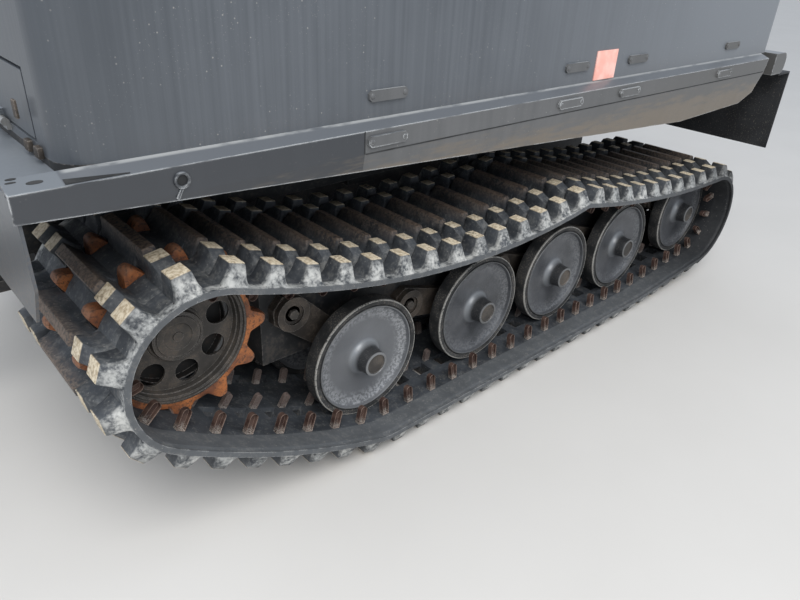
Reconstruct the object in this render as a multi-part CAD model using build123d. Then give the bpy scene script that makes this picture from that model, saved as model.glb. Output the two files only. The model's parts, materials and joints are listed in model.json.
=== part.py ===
# One car of a tracked crawler carrier: a box body on two rubber-tracked running gears.
# Millimetres. +X is forward, +Y is the car's left side and +Z is up, with the ground at z = 0.
from math import acos, atan2, cos, hypot, pi, radians, sin
import os

from build123d import *

os.makedirs("parts", exist_ok=True)

# Driving sizes of the running gear
TRACK_CENTRE_Y = 625.0
BELT_WIDTH = 620.0
BELT_THICKNESS = 15.0
LUG_HEIGHT = 50.0
LUG_BASE = 60.0
LUG_TOP = 30.0
LUG_END_SLOPE = 22.0
LUG_SINK = 6.0
SPROCKET_TEETH = 12
WHEEL_RADIUS = 200.0
WHEEL_WIDTH = 55.0
RIM_RADIUS = 178.0
DISH_RADIUS = 172.0
DISH_RIM_DEPTH = 12.0
DISH_HUB_DEPTH = 20.0
HUB_RADIUS = 42.0
HUB_ROOT_RADIUS = 52.0
HUB_REACH = 42.0
AXLE_RADIUS = 24.0
WHEEL_OUTER_FACE_Y = 790.0
WHEEL_XS = (700.0, 187.0, -271.0, -734.0)
IDLER_X = -1260.0
IDLER_LIFT = 40.0
SPROCKET_X = 1265.0
SPROCKET_Z = 537.0
SPROCKET_WRAP_RADIUS = 195.0
SPROCKET_HUB_RADIUS = 63.0
SPROCKET_HUB_REACH = 12.0
SPROCKET_DISC_DEPTH = 8.0
SPROCKET_DISC_THICKNESS = 12.0
SPROCKET_DRUM_THICKNESS = 14.0
SPROCKET_WAIST_RADIUS = 82.0
SPROCKET_WAIST_BORE = 66.0
TOOTH_PHASE = 5.5
TOOTH_TIP_RADIUS = 242.0
TOOTH_RING_GAP = 2.5
TOOTH_BASE = 36.0
TOOTH_SHOULDER = 226.0
TOOTH_TIP = 24.0
TOOTH_WIDTH = 46.0
TOOTH_ROW_OFFSET = 105.0
SPROCKET_DRUM_RADIUS = 180.0
SPROCKET_HOLE_RADIUS = 32.0
SPROCKET_HOLE_CIRCLE = 119.0
SPROCKET_HOLES = 8
SPROCKET_HOLE_PHASE = 42.5
WINDOW_LENGTH = 58.0
WINDOW_WIDTH = 54.0
WINDOW_RANGE = (-4, 6)
ROLLER_X = -178.0
ROLLER_Z = 553.0
ROLLER_RADIUS = 60.0
ROLLER_WIDTH = 55.0
ROLLER_SETTLE = 8.0
ROLLER_SHAFT_RADIUS = 25.0
ROLLER_POST_FOOT = 70.0
ROLLER_POST_HEAD = 30.0
FRONT_SAG_RADIUS = 2700.0
REAR_SAG_RADIUS = 5200.0
FRONT_DROOP_RADIUS = 2400.0
RUNNING_GAP = 0.3
SLIGHT_TURN = 0.03
CORNER_SHIFT = 42.0

WHEEL_Z = BELT_THICKNESS + LUG_HEIGHT + WHEEL_RADIUS
IDLER_Z = WHEEL_Z + IDLER_LIFT
BELT_INNER_Y = TRACK_CENTRE_Y - BELT_WIDTH / 2
BELT_OUTER_Y = TRACK_CENTRE_Y + BELT_WIDTH / 2

# Driving sizes of the body
BODY_FRONT_X = 1490.0
BODY_REAR_X = -1470.0
BODY_HALF_WIDTH = 900.0
BODY_FOOT_Z = 1045.0
WAIST_Z = 1640.0
ROOF_Z = 2400.0
ROOF_RISE = 130.0
EAVES_Z = ROOF_Z - ROOF_RISE
EAVES_HALF_WIDTH = 815.0
ROOF_SHOULDER_HALF_WIDTH = 700.0
WALL = 30.0
CORNER_RADIUS = 70.0
END_WALL_SEAM = 100.0

TUB_HALF_WIDTH = 285.0
TUB_BOTTOM_Z = 640.0
TUB_SKIN = 25.0
UPPER_FLOOR = 20.0

SILL_OVERHANG = 40.0
SILL_LIP_HALF_WIDTH = BODY_HALF_WIDTH + SILL_OVERHANG
SILL_LIP_Z = 1029.0
SILL_CREASE_Z = 975.0
SILL_TUCK = 24.0
SILL_SKIN = 6.0
SILL_FRONT_BOTTOM_Z = 978.0
SILL_LOW_X = -740.0
SILL_LOW_Z = 838.0
SILL_REAR_LOW_X = -1235.0
SILL_REAR_LOW_Z = 852.0
SILL_REAR_X = -1375.0
SILL_REAR_CORNER_X = -1330.0
SILL_REAR_CORNER_Z = 890.0

LEDGE_DEPTH = 100.0
LEDGE_FRONT_X = BODY_FRONT_X + LEDGE_DEPTH
LEDGE_SKIN = 6.0
LEDGE_DROP = 51.0
LEDGE_TOP_INSET = 16.0
GUARD_INNER_Y = 330.0
GUARD_LOW_Z = 765.0
GUARD_CORNER = 50.0
GUARD_OUTER_CORNER_Z = 850.0

# Windows, door and hatch
SIDE_WINDOW_XS = (-760.0, 780.0)
SIDE_WINDOW_LENGTH = 960.0
WINDOW_SILL_RISE = 60.0
WINDOW_LOW_Z = WAIST_Z + WINDOW_SILL_RISE
WINDOW_HEAD = 150.0
WINDOW_HIGH_Z = EAVES_Z - WINDOW_HEAD
WINDOW_CORNER = 60.0
FRONT_WINDOW_HALF_WIDTH = 430.0
GLASS = 6.0
DOOR_HALF_WIDTH = 295.0
DOOR_LOW_Z = 703.0
DOOR_HEAD = 120.0
DOOR_HIGH_Z = EAVES_Z - DOOR_HEAD
DOOR_THICKNESS = 25.0
DOOR_GAP = 7.0
DOOR_WINDOW_HALF_WIDTH = 190.0
DOOR_WINDOW_HEAD = 80.0
DOOR_WINDOW_HIGH_Z = DOOR_HIGH_Z - DOOR_WINDOW_HEAD
APRON_HALF_WIDTH = 345.0
DOOR_HINGE_STAND = 14.0
DOOR_HINGE_X = BODY_REAR_X - DOOR_HINGE_STAND
DOOR_HINGE_Y = -298.5
DOOR_HINGE_INSETS = (177.0, 170.0)
DOOR_HINGE_ZS = (DOOR_LOW_Z + DOOR_HINGE_INSETS[0], DOOR_HIGH_Z - DOOR_HINGE_INSETS[1])
DOOR_PIN_RADIUS = 7.0
DOOR_KNUCKLE_RADIUS = 12.0
DOOR_KNUCKLE = 40.0
DOOR_LEAF = 60.0
HATCH_HALF_WIDTH = 770.0
HATCH_LOW_Z = 1068.0
HATCH_HIGH_Z = 1188.0
HATCH_THICKNESS = 8.0
HATCH_HINGE_STAND = 9.0
HATCH_HINGE_X = BODY_FRONT_X + HATCH_HINGE_STAND
HATCH_HINGE_Z = 1064.5
HATCH_HINGE_YS = (-560.0, 0.0, 560.0)
HATCH_PIN_RADIUS = 4.0
HATCH_KNUCKLE_RADIUS = 8.0
HATCH_KNUCKLE = 30.0
HATCH_LEAF = 16.0
HINGE_LEAF_THICKNESS = 8.0
KNUCKLE_GAP = 2.0
PIN_CLEARANCE = 0.05

# Chassis
SPINE_HALF_WIDTH = 100.0
SPINE_LOW_Z = 400.0
SPINE_HIGH_Z = 600.0
SPINE_REAR_X = -1380.0
SPINE_FRONT_X = 1120.0
SPINE_PAD_XS = (-900.0, 300.0)
SPINE_PAD_LENGTH = 120.0
SPINE_PAD_HALF_WIDTH = 245.0
FRONT_CROSS_X = 905.0
FRONT_CROSS_LENGTH = 100.0
FRONT_CROSS_LOW_Z = 530.0
FRONT_CROSS_HIGH_Z = 580.0
REAR_CROSS_X = -998.0
REAR_CROSS_LENGTH = 75.0
REAR_CROSS_LOW_Z = 365.0
REAR_CROSS_HIGH_Z = 428.0
REAR_CROSS_SADDLE = 200.0
CASE_FRONT_X = 1410.0
CASE_HALF_WIDTH = 130.0
CASE_LOW_Z = 410.0
CASE_TOP_GAP = 10.0
CASE_CHAMFER = 40.0
AXLE_TUBE_RADIUS = 80.0
AXLE_TUBE_REACH = 300.0
SHAFT_RADIUS = 45.0
BEAM_HALF_WIDTH = 45.0
BEAM_LOW_Z = 300.0
BEAM_HIGH_Z = 430.0
BEAM_REAR_X = -1180.0
BEAM_FRONT_X = 1000.0
BEAM_NOSE_Z = 600.0
BEAM_NOSE_X = 840.0
BEAM_SLOPE_X = 600.0
ARM_THICKNESS = 28.0
ARM_PIVOTS = ((917.0, 466.0), (460.0, 340.0), (2.0, 340.0), (-461.0, 340.0))
IDLER_PIVOT = (-1110.0, 385.0)
ARM_PIVOT_RADIUS = 56.0
ARM_AXLE_RADIUS = 40.0
ARM_BOSS_RADIUS = 54.0
ARM_BOSS_HEIGHT = 20.0
ARM_BOSS_RECESS_RADIUS = 33.0
ARM_BOSS_RECESS = 8.0
COUPLING_PIN_X = 1690.0
COUPLING_PIN_RADIUS = 25.0
COUPLING_PIN_STAND = 10.0
COUPLING_EYE_RADIUS = 60.0
COUPLING_FLANGE_X = 1995.0
COUPLING_FLANGE_RADIUS = 115.0
COUPLING_BOLT_CIRCLE_RADIUS = 90.0
COUPLING_BOLTS = 8
COUPLING_BOLT_HOLE_RADIUS = 7.0
COUPLING_EYE_HEIGHT = 70.0
COUPLING_GAP = 5.0
COUPLING_ROOT = 60.0
COUPLING_ARM_HALF_WIDTH = 40.0
COUPLING_FLANGE_THICKNESS = 20.0
COUPLING_EAR = 35.0
COUPLING_Z = 520.0
TOW_EYE_X = -1545.0
TOW_EYE_RADIUS = 45.0
TOW_EYE_BORE = 20.0
TOW_EYE_HEIGHT = 40.0
TOW_NECK_HALF_WIDTH = 30.0
TOW_PLATE_THICKNESS = 15.0
TOW_PLATE_HALF = 80.0

# Outside fittings
FLAP_SKIN = 8.0
FLAP_LOW_Z = 591.0
FLAP_INNER_Y = 400.0
FLAP_OUTER_Y = 935.0
BUMPER_DEPTH = 120.0
BUMPER_REAR_X = BODY_REAR_X - BUMPER_DEPTH
BUMPER_LOW_Z = 950.0
BUMPER_HIGH_Z = 1040.0
BUMPER_INNER_Y = 430.0
BUMPER_ROUNDING = 35.0
FLAP_TOP_OVERLAP = 30.0
FLAP_STAND = 87.0
FLAP_X = BUMPER_REAR_X - FLAP_STAND
LAMP_DEPTH = 40.0
LAMP_INNER_Y = 640.0
LAMP_OUTER_Y = 800.0
LAMP_LOW_Z = 1090.0
LAMP_HIGH_Z = 1170.0
HANDLE_Y = 235.0
HANDLE_WIDTH = 20.0
HANDLE_LOW_Z = 1200.0
HANDLE_HIGH_Z = 1400.0
HANDLE_REACH = 45.0
HANDLE_THICKNESS = 15.0
LOOP_LENGTH = 119.0
LOOP_WIDTH = 26.0
LOOP_THICKNESS = 7.0
LOOP_CORNER = 8.0
UPPER_LOOPS = ((755.0, 1096.0), (-3.0, 1096.0), (-349.0, 1096.0), (-1060.0, 1096.0))
LOWER_LOOPS = ((786.0, 1004.0), (61.0, 1004.0), (-268.0, 1004.0), (-960.0, 1004.0))
REFLECTOR_X = -160.0
REFLECTOR_Z = 1091.0
REFLECTOR_LENGTH = 115.0
REFLECTOR_HEIGHT = 88.0
REFLECTOR_SKIN = 3.0

# Benches
BENCH_HALF_LENGTH = 1300.0
BENCH_INNER_Y = 330.0
BENCH_BASE_HEIGHT = 30.0
BENCH_BASE_INSET = 10.0
CUSHION_HEIGHT = 90.0
CUSHION_WALL_GAP = 70.0
BACKREST_THICKNESS = 60.0
BACKREST_LOW_Z = 1210.0
BACKREST_HIGH_Z = 1560.0

# The whole car is moved so that its length is centred on the origin.
CENTRE_X = (COUPLING_FLANGE_X + FLAP_X - FLAP_SKIN) / 2


def block(x0, x1, y0, y1, z0, z1):
    """A box between two corners."""
    return Pos((x0 + x1) / 2, (y0 + y1) / 2, (z0 + z1) / 2) * Box(x1 - x0, y1 - y0, z1 - z0)


def bar_along_x(points_yz, x0, x1):
    """A straight bar whose section is given by its corners in Y and Z."""
    plane = Plane(origin=(x0, 0, 0), x_dir=(0, 1, 0), z_dir=(1, 0, 0))
    return extrude(plane * make_face(Polyline(*points_yz, close=True)), x1 - x0)


def plate_along_y(points_xz, y0, y1):
    """A flat plate across the car whose outline is given by its corners in X and Z."""
    plane = Plane(origin=(0, y0, 0), x_dir=(1, 0, 0), z_dir=(0, -1, 0))
    return extrude(plane * make_face(Polyline(*points_xz, close=True)), y0 - y1)


def disc(x, z, radius, y0, y1):
    """A round disc or shaft with its axis across the car."""
    low, high = min(y0, y1), max(y0, y1)
    plane = Plane(origin=(x, low, z), x_dir=(1, 0, 0), z_dir=(0, 1, 0))
    return extrude(plane * Circle(radius), high - low)


def turned(x, z, profile, side=1):
    """A body of revolution about an axis across the car, from (radius, y) corners."""
    plane = Plane(origin=(x, 0, z), x_dir=(1, 0, 0), z_dir=(0, 0, 1))
    face = plane * make_face(Polyline(*[(r, side * y) for r, y in profile], close=True))
    return revolve(face, Axis((x, 0, z), (0, 1, 0)), 360)


def rounded_slab_x(x0, x1, y0, y1, z0, z1, radius):
    """A plate that faces forward, with rounded corners."""
    plane = Plane(origin=(x0, (y0 + y1) / 2, (z0 + z1) / 2), x_dir=(0, 1, 0), z_dir=(1, 0, 0))
    return extrude(plane * RectangleRounded(y1 - y0, z1 - z0, radius), x1 - x0)


def rounded_slab_y(x0, x1, y0, y1, z0, z1, radius):
    """A plate that faces sideways, with rounded corners."""
    plane = Plane(origin=((x0 + x1) / 2, y0, (z0 + z1) / 2), x_dir=(1, 0, 0), z_dir=(0, -1, 0))
    return extrude(plane * RectangleRounded(x1 - x0, z1 - z0, radius), y0 - y1)


def other_side(shape):
    """The same piece on the car's right side."""
    return mirror(shape, about=Plane.XZ)


def parts_of(shapes):
    """Several separate solids kept in one piece."""
    return Compound(children=[solid for shape in shapes for solid in shape.solids()])


# The belt's path, seen from the left side, runs rearwards on top, down round the idler,
# forwards on the ground and up round the sprocket, along the middle of the belt's thickness.
# Each arc is (centre, signed radius, first and last angle of the outward normal), and a
# sagging stretch has a negative radius, because its centre lies outside the loop.
HALF_BELT = BELT_THICKNESS / 2


def meet_above(centre_a, reach_a, centre_b, reach_b):
    """The upper point at the given distances from two centres, the first one further back."""
    dx = centre_b[0] - centre_a[0]
    dz = centre_b[1] - centre_a[1]
    apart = hypot(dx, dz)
    along = (reach_a ** 2 - reach_b ** 2 + apart ** 2) / (2 * apart)
    up = (reach_a ** 2 - along ** 2) ** 0.5
    return (centre_a[0] + (along * dx - up * dz) / apart,
            centre_a[1] + (along * dz + up * dx) / apart)


def angle_to(start, end):
    """The direction from one point to another, in radians."""
    return atan2(end[1] - start[1], end[0] - start[0])


def line_normal(centre_a, radius_a, centre_b, radius_b):
    """The outward normal's angle on the straight run that touches two wheels from below."""
    apart = hypot(centre_b[0] - centre_a[0], centre_b[1] - centre_a[1])
    return 2 * pi + angle_to(centre_a, centre_b) - acos((radius_a - radius_b) / apart)


def belt_arcs():
    """The belt's arcs in order, each as (centre, signed radius, first angle, last angle)."""
    sprocket = (SPROCKET_X, SPROCKET_Z)
    roller = (ROLLER_X, ROLLER_Z)
    idler = (IDLER_X, IDLER_Z)
    first_wheel = (WHEEL_XS[0], WHEEL_Z)
    last_wheel = (WHEEL_XS[-1], WHEEL_Z)
    wrap = SPROCKET_WRAP_RADIUS + HALF_BELT
    wheel = WHEEL_RADIUS + HALF_BELT
    bump = ROLLER_RADIUS + HALF_BELT
    front_sag = meet_above(roller, FRONT_SAG_RADIUS + bump, sprocket, FRONT_SAG_RADIUS + wrap)
    rear_sag = meet_above(idler, REAR_SAG_RADIUS + wheel, roller, REAR_SAG_RADIUS + bump)
    leave_sprocket = angle_to(sprocket, front_sag)
    reach_roller = angle_to(roller, front_sag)
    leave_roller = angle_to(roller, rear_sag)
    reach_idler = angle_to(idler, rear_sag)
    leave_idler = line_normal(idler, wheel, last_wheel, wheel)
    level = 1.5 * pi
    droop = meet_above(first_wheel, FRONT_DROOP_RADIUS - wheel, sprocket, FRONT_DROOP_RADIUS - wrap)
    leave_wheel = angle_to(droop, first_wheel) + 2 * pi
    reach_sprocket = angle_to(droop, sprocket) + 2 * pi
    return [
        (front_sag, -FRONT_SAG_RADIUS, leave_sprocket, reach_roller),
        (roller, bump, reach_roller, leave_roller),
        (rear_sag, -REAR_SAG_RADIUS, leave_roller, reach_idler),
        (idler, wheel, reach_idler, leave_idler),
        (last_wheel, wheel, leave_idler, level),
        (first_wheel, wheel, level, leave_wheel),
        (droop, FRONT_DROOP_RADIUS, leave_wheel, reach_sprocket),
        (sprocket, wrap, reach_sprocket, leave_sprocket + 2 * pi),
    ]


def arc_point(arc, angle, offset=0.0):
    """A point on an arc of the path, moved outwards by an offset."""
    reach = arc[1] + offset
    return (arc[0][0] + reach * cos(angle), arc[0][1] + reach * sin(angle))


ARCS = belt_arcs()
NEXT_ARCS = ARCS[1:] + ARCS[:1]


def straight_length(arc, after):
    """The straight run between the end of one arc and the start of the next."""
    start = arc_point(arc, arc[3])
    end = arc_point(after, after[2])
    return hypot(end[0] - start[0], end[1] - start[1])


ARC_LENGTHS = [abs(arc[1] * (arc[3] - arc[2])) for arc in ARCS]
RUN_LENGTHS = [straight_length(arc, after) for arc, after in zip(ARCS, NEXT_ARCS)]
BELT_LENGTH = sum(ARC_LENGTHS) + sum(RUN_LENGTHS)
TOOTH_PITCH = 2 * pi * (SPROCKET_WRAP_RADIUS + HALF_BELT) / SPROCKET_TEETH
LUG_COUNT = round(BELT_LENGTH / TOOTH_PITCH)
LUG_PITCH = BELT_LENGTH / LUG_COUNT
SPROCKET_ARC_START = BELT_LENGTH - ARC_LENGTHS[-1] - RUN_LENGTHS[-1]
TOOTH_DISTANCE = SPROCKET_ARC_START + ARCS[-1][1] * (2 * pi + radians(TOOTH_PHASE) - ARCS[-1][2])


def on_path(distance):
    """The path's point and its outward normal's angle at a distance along the loop."""
    distance = distance % BELT_LENGTH
    for arc, after, arc_length, run_length in zip(ARCS, NEXT_ARCS, ARC_LENGTHS, RUN_LENGTHS):
        if distance <= arc_length:
            angle = arc[2] + distance / arc[1]
            return arc_point(arc, angle), angle
        distance -= arc_length
        if distance <= run_length:
            start = arc_point(arc, arc[3])
            return (start[0] - distance * sin(arc[3]), start[1] + distance * cos(arc[3])), arc[3]
        distance -= run_length
    return arc_point(ARCS[0], ARCS[0][2]), ARCS[0][2]


def path_place(distance, offset):
    """The place of a piece that stands outwards on the belt at a distance along the loop."""
    point, angle = on_path(distance)
    origin = (point[0] + offset * cos(angle), TRACK_CENTRE_Y, point[1] + offset * sin(angle))
    return Plane(origin=origin, x_dir=(-sin(angle), 0, cos(angle)), z_dir=(cos(angle), 0, sin(angle))).location


def path_corner(index, offset):
    """The path's point halfway between one lug and the next, moved outwards by an offset."""
    point, angle = on_path(TOOTH_DISTANCE + index * LUG_PITCH)
    return (point[0] + offset * cos(angle), point[1] + offset * sin(angle))


def tangent_corner(index, offset):
    """The point where the flats that touch the path at one lug and at the next meet."""
    here = TOOTH_DISTANCE + (index - 0.5) * LUG_PITCH
    (x0, z0), a0 = on_path(here)
    (x1, z1), a1 = on_path(here + LUG_PITCH)
    turn = sin(a1 - a0)
    reach0 = x0 * cos(a0) + z0 * sin(a0) + offset
    reach1 = x1 * cos(a1) + z1 * sin(a1) + offset
    return ((reach0 * sin(a1) - reach1 * sin(a0)) / turn, (reach1 * cos(a0) - reach0 * cos(a1)) / turn)


def facet_corner(index, offset):
    """The corner between two lugs' flats, outside the path where the belt wraps a wheel."""
    here = TOOTH_DISTANCE + (index - 0.5) * LUG_PITCH
    if sin(on_path(here + LUG_PITCH)[1] - on_path(here)[1]) < SLIGHT_TURN:
        return path_corner(index, offset)
    plain = path_corner(index, 0)
    sharp = tangent_corner(index, 0)
    if hypot(sharp[0] - plain[0], sharp[1] - plain[1]) > CORNER_SHIFT:
        return path_corner(index, offset)
    return tangent_corner(index, offset)


def belt():
    """One endless belt: a flat for each cross lug, the lugs and the windows that the teeth fill."""
    outer, inner = [
        plate_along_y([facet_corner(index, offset) for index in range(LUG_COUNT)], BELT_INNER_Y, BELT_OUTER_Y)
        for offset in (HALF_BELT, -HALF_BELT)
    ]
    foot = Rectangle(LUG_BASE, BELT_WIDTH)
    crest = Pos(0, 0, LUG_HEIGHT + LUG_SINK) * Rectangle(LUG_TOP, BELT_WIDTH - 2 * LUG_END_SLOPE)
    lug = loft([foot.face(), crest.face()], ruled=True)
    lugs = [
        path_place(TOOTH_DISTANCE + (index + 0.5) * LUG_PITCH, HALF_BELT - LUG_SINK) * lug
        for index in range(LUG_COUNT)
    ]
    window = Box(WINDOW_LENGTH, WINDOW_WIDTH, 2 * (BELT_THICKNESS + LUG_HEIGHT))
    windows = []
    for index in range(*WINDOW_RANGE):
        place = path_place(TOOTH_DISTANCE + index * LUG_PITCH, 0)
        windows += [place * Pos(0, row, 0) * window for row in (-TOOTH_ROW_OFFSET, TOOTH_ROW_OFFSET)]
    return (outer - inner).fuse(*lugs).cut(*windows)


def tooth_ring(y_middle):
    """One ring of sprocket teeth, with a flat between teeth for each lug's stretch of belt."""
    low = y_middle - TOOTH_WIDTH / 2
    high = y_middle + TOOTH_WIDTH / 2
    step = 2 * pi / SPROCKET_TEETH
    corner = (SPROCKET_WRAP_RADIUS - TOOTH_RING_GAP) / cos(step / 2)
    profile = []
    for index in range(SPROCKET_TEETH):
        angle = radians(TOOTH_PHASE) + index * step
        for radius, across in (
            (corner, -TOOTH_BASE / 2), (TOOTH_SHOULDER, -TOOTH_BASE / 2), (TOOTH_TIP_RADIUS, -TOOTH_TIP / 2),
            (TOOTH_TIP_RADIUS, TOOTH_TIP / 2), (TOOTH_SHOULDER, TOOTH_BASE / 2), (corner, TOOTH_BASE / 2),
        ):
            if radius == corner:
                radius = corner - abs(across) * sin(step / 2)
            profile.append((
                SPROCKET_X + radius * cos(angle) - across * sin(angle),
                SPROCKET_Z + radius * sin(angle) + across * cos(angle)))
    return plate_along_y(profile, low, high) - disc(SPROCKET_X, SPROCKET_Z, SPROCKET_DRUM_RADIUS, low, high)


def sprocket():
    """The steel sprocket: its disc with the holes, a rim under each tooth ring, its waist and its hub."""
    outer = TRACK_CENTRE_Y + TOOTH_ROW_OFFSET + TOOTH_WIDTH / 2
    inner = TRACK_CENTRE_Y - TOOTH_ROW_OFFSET - TOOTH_WIDTH / 2
    rim = SPROCKET_DRUM_RADIUS
    bore = rim - SPROCKET_DRUM_THICKNESS
    waist = SPROCKET_WAIST_RADIUS
    front = outer - SPROCKET_DISC_DEPTH
    back = front - SPROCKET_DISC_THICKNESS
    far = inner + SPROCKET_DISC_DEPTH
    near = far + SPROCKET_DISC_THICKNESS
    wheel = turned(SPROCKET_X, SPROCKET_Z, [
        (0, back), (SPROCKET_WAIST_BORE, back), (SPROCKET_WAIST_BORE, far), (bore, far), (bore, inner),
        (rim, inner), (rim, inner + TOOTH_WIDTH), (bore, inner + TOOTH_WIDTH), (bore, near), (waist, near),
        (waist, back), (bore, back), (bore, outer - TOOTH_WIDTH), (rim, outer - TOOTH_WIDTH), (rim, outer),
        (bore, outer), (bore, front), (SPROCKET_HUB_RADIUS, front),
        (SPROCKET_HUB_RADIUS, outer + SPROCKET_HUB_REACH), (0, outer + SPROCKET_HUB_REACH),
    ])
    for index in range(SPROCKET_HOLES):
        angle = radians(SPROCKET_HOLE_PHASE + 360 * index / SPROCKET_HOLES)
        x = SPROCKET_X + SPROCKET_HOLE_CIRCLE * cos(angle)
        z = SPROCKET_Z + SPROCKET_HOLE_CIRCLE * sin(angle)
        wheel -= disc(x, z, SPROCKET_HOLE_RADIUS, back, front)
    return wheel


def road_wheel(x, z):
    """A dished steel road wheel with its hub and its bonded rubber tyre, on the track's outer side."""
    face = WHEEL_OUTER_FACE_Y
    tread = WHEEL_RADIUS - RUNNING_GAP
    back = face - WHEEL_WIDTH
    return turned(x, z, [
        (0, back), (tread, back), (tread, face), (RIM_RADIUS, face), (DISH_RADIUS, face - DISH_RIM_DEPTH),
        (HUB_ROOT_RADIUS, face - DISH_HUB_DEPTH), (HUB_RADIUS, face + HUB_REACH), (0, face + HUB_REACH),
    ])


def both_wheels(shape):
    """A wheel and the one that faces it on the track's inner side."""
    return [shape, mirror(shape, about=Plane.XZ.offset(-TRACK_CENTRE_Y))]


def support_roller():
    """One small roller that carries the top run, with its shaft from the beam's post."""
    face = WHEEL_OUTER_FACE_Y
    back = face - ROLLER_WIDTH
    return turned(ROLLER_X, ROLLER_Z - ROLLER_SETTLE, [
        (0, TRACK_CENTRE_Y + BEAM_HALF_WIDTH), (ROLLER_SHAFT_RADIUS, TRACK_CENTRE_Y + BEAM_HALF_WIDTH),
        (ROLLER_SHAFT_RADIUS, back), (ROLLER_RADIUS, back), (ROLLER_RADIUS, face), (0, face),
    ])


def end_corners(centre, radius, direction):
    """Four corners of a blunt rounded end that points along a direction."""
    reach = radius / cos(pi / 8)
    return [
        (centre[0] + reach * cos(direction + turn), centre[1] + reach * sin(direction + turn))
        for turn in (-3 * pi / 8, -pi / 8, pi / 8, 3 * pi / 8)
    ]


def trailing_arm(pivot, axle):
    """A pair of cast arms either side of the beam, joined by the axle that carries two wheels."""
    near = TRACK_CENTRE_Y + BEAM_HALF_WIDTH
    far = near + ARM_THICKNESS
    along = angle_to(pivot, axle)
    outline = end_corners(axle, ARM_AXLE_RADIUS, along) + end_corners(pivot, ARM_PIVOT_RADIUS, along + pi)
    arm = plate_along_y(outline, near, far)
    arm += disc(*axle, AXLE_RADIUS, TRACK_CENTRE_Y, WHEEL_OUTER_FACE_Y - WHEEL_WIDTH)
    pair = arm + mirror(arm, about=Plane.XZ.offset(-TRACK_CENTRE_Y))
    top = far + ARM_BOSS_HEIGHT
    pair += disc(*pivot, ARM_BOSS_RADIUS, far, top)
    return pair - disc(*pivot, ARM_BOSS_RECESS_RADIUS, top - ARM_BOSS_RECESS, top)


def track_beam():
    """The long box beam inside the belt's loop, tall at its front end."""
    low = TRACK_CENTRE_Y - BEAM_HALF_WIDTH
    high = TRACK_CENTRE_Y + BEAM_HALF_WIDTH
    beam = plate_along_y([
        (BEAM_FRONT_X, BEAM_LOW_Z), (BEAM_FRONT_X, BEAM_NOSE_Z), (BEAM_NOSE_X, BEAM_NOSE_Z),
        (BEAM_SLOPE_X, BEAM_HIGH_Z),
        (BEAM_REAR_X, BEAM_HIGH_Z), (BEAM_REAR_X, BEAM_LOW_Z),
    ], low, high)
    post = plate_along_y([
        (ROLLER_X - ROLLER_POST_FOOT, BEAM_HIGH_Z), (ROLLER_X - ROLLER_POST_HEAD, ROLLER_Z + ROLLER_POST_HEAD),
        (ROLLER_X + ROLLER_POST_HEAD, ROLLER_Z + ROLLER_POST_HEAD), (ROLLER_X + ROLLER_POST_FOOT, BEAM_HIGH_Z),
    ], low, high)
    return beam + post


def chassis():
    """The central spine with its front and rear cross members and the pads under the tub."""
    spine = block(SPINE_REAR_X, SPINE_FRONT_X, -SPINE_HALF_WIDTH, SPINE_HALF_WIDTH, SPINE_LOW_Z, SPINE_HIGH_Z)
    reach = TRACK_CENTRE_Y - BEAM_HALF_WIDTH
    for x, length, low, high in (
        (FRONT_CROSS_X, FRONT_CROSS_LENGTH, FRONT_CROSS_LOW_Z, FRONT_CROSS_HIGH_Z),
        (REAR_CROSS_X, REAR_CROSS_LENGTH, REAR_CROSS_LOW_Z, REAR_CROSS_HIGH_Z),
    ):
        spine += block(x - length / 2, x + length / 2, -reach, reach, low, high)
    half = REAR_CROSS_SADDLE / 2
    spine += block(
        REAR_CROSS_X - half, REAR_CROSS_X + half, -SPINE_HALF_WIDTH, SPINE_HALF_WIDTH, REAR_CROSS_LOW_Z, SPINE_LOW_Z)
    half = SPINE_PAD_LENGTH / 2
    for x in SPINE_PAD_XS:
        spine += block(
            x - half, x + half, -SPINE_PAD_HALF_WIDTH, SPINE_PAD_HALF_WIDTH, SPINE_HIGH_Z, TUB_BOTTOM_Z)
    return spine


def drive_axle():
    """The gear case under the floor, with the shafts to both sprockets."""
    case = block(
        SPINE_FRONT_X, CASE_FRONT_X, -CASE_HALF_WIDTH, CASE_HALF_WIDTH, CASE_LOW_Z, TUB_BOTTOM_Z - CASE_TOP_GAP)
    case = chamfer(case.edges().filter_by(Axis.Y), CASE_CHAMFER)
    case += disc(SPROCKET_X, SPROCKET_Z, AXLE_TUBE_RADIUS, -AXLE_TUBE_REACH, AXLE_TUBE_REACH)
    outer = TRACK_CENTRE_Y + TOOTH_ROW_OFFSET + TOOTH_WIDTH / 2
    end = outer - SPROCKET_DISC_DEPTH - SPROCKET_DISC_THICKNESS
    return case + disc(SPROCKET_X, SPROCKET_Z, SHAFT_RADIUS, -end, end)


def post_z(x, y, radius, z0, z1):
    """An upright round post."""
    return Pos(x, y, (z0 + z1) / 2) * Cylinder(radius, z1 - z0)


def coupling_ears():
    """The fork at the car's nose, with its upright pin."""
    radius = COUPLING_EYE_RADIUS
    inside = COUPLING_EYE_HEIGHT / 2 + COUPLING_GAP
    outside = inside + COUPLING_EAR
    fork = block(
        CASE_FRONT_X, CASE_FRONT_X + COUPLING_ROOT, -radius, radius, COUPLING_Z - outside, COUPLING_Z + outside)
    for low in (COUPLING_Z + inside, COUPLING_Z - outside):
        high = low + COUPLING_EAR
        fork += block(CASE_FRONT_X, COUPLING_PIN_X, -radius, radius, low, high)
        fork += post_z(COUPLING_PIN_X, 0, radius, low, high)
    end = outside + COUPLING_PIN_STAND
    return fork + post_z(COUPLING_PIN_X, 0, COUPLING_PIN_RADIUS, COUPLING_Z - end, COUPLING_Z + end)


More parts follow.
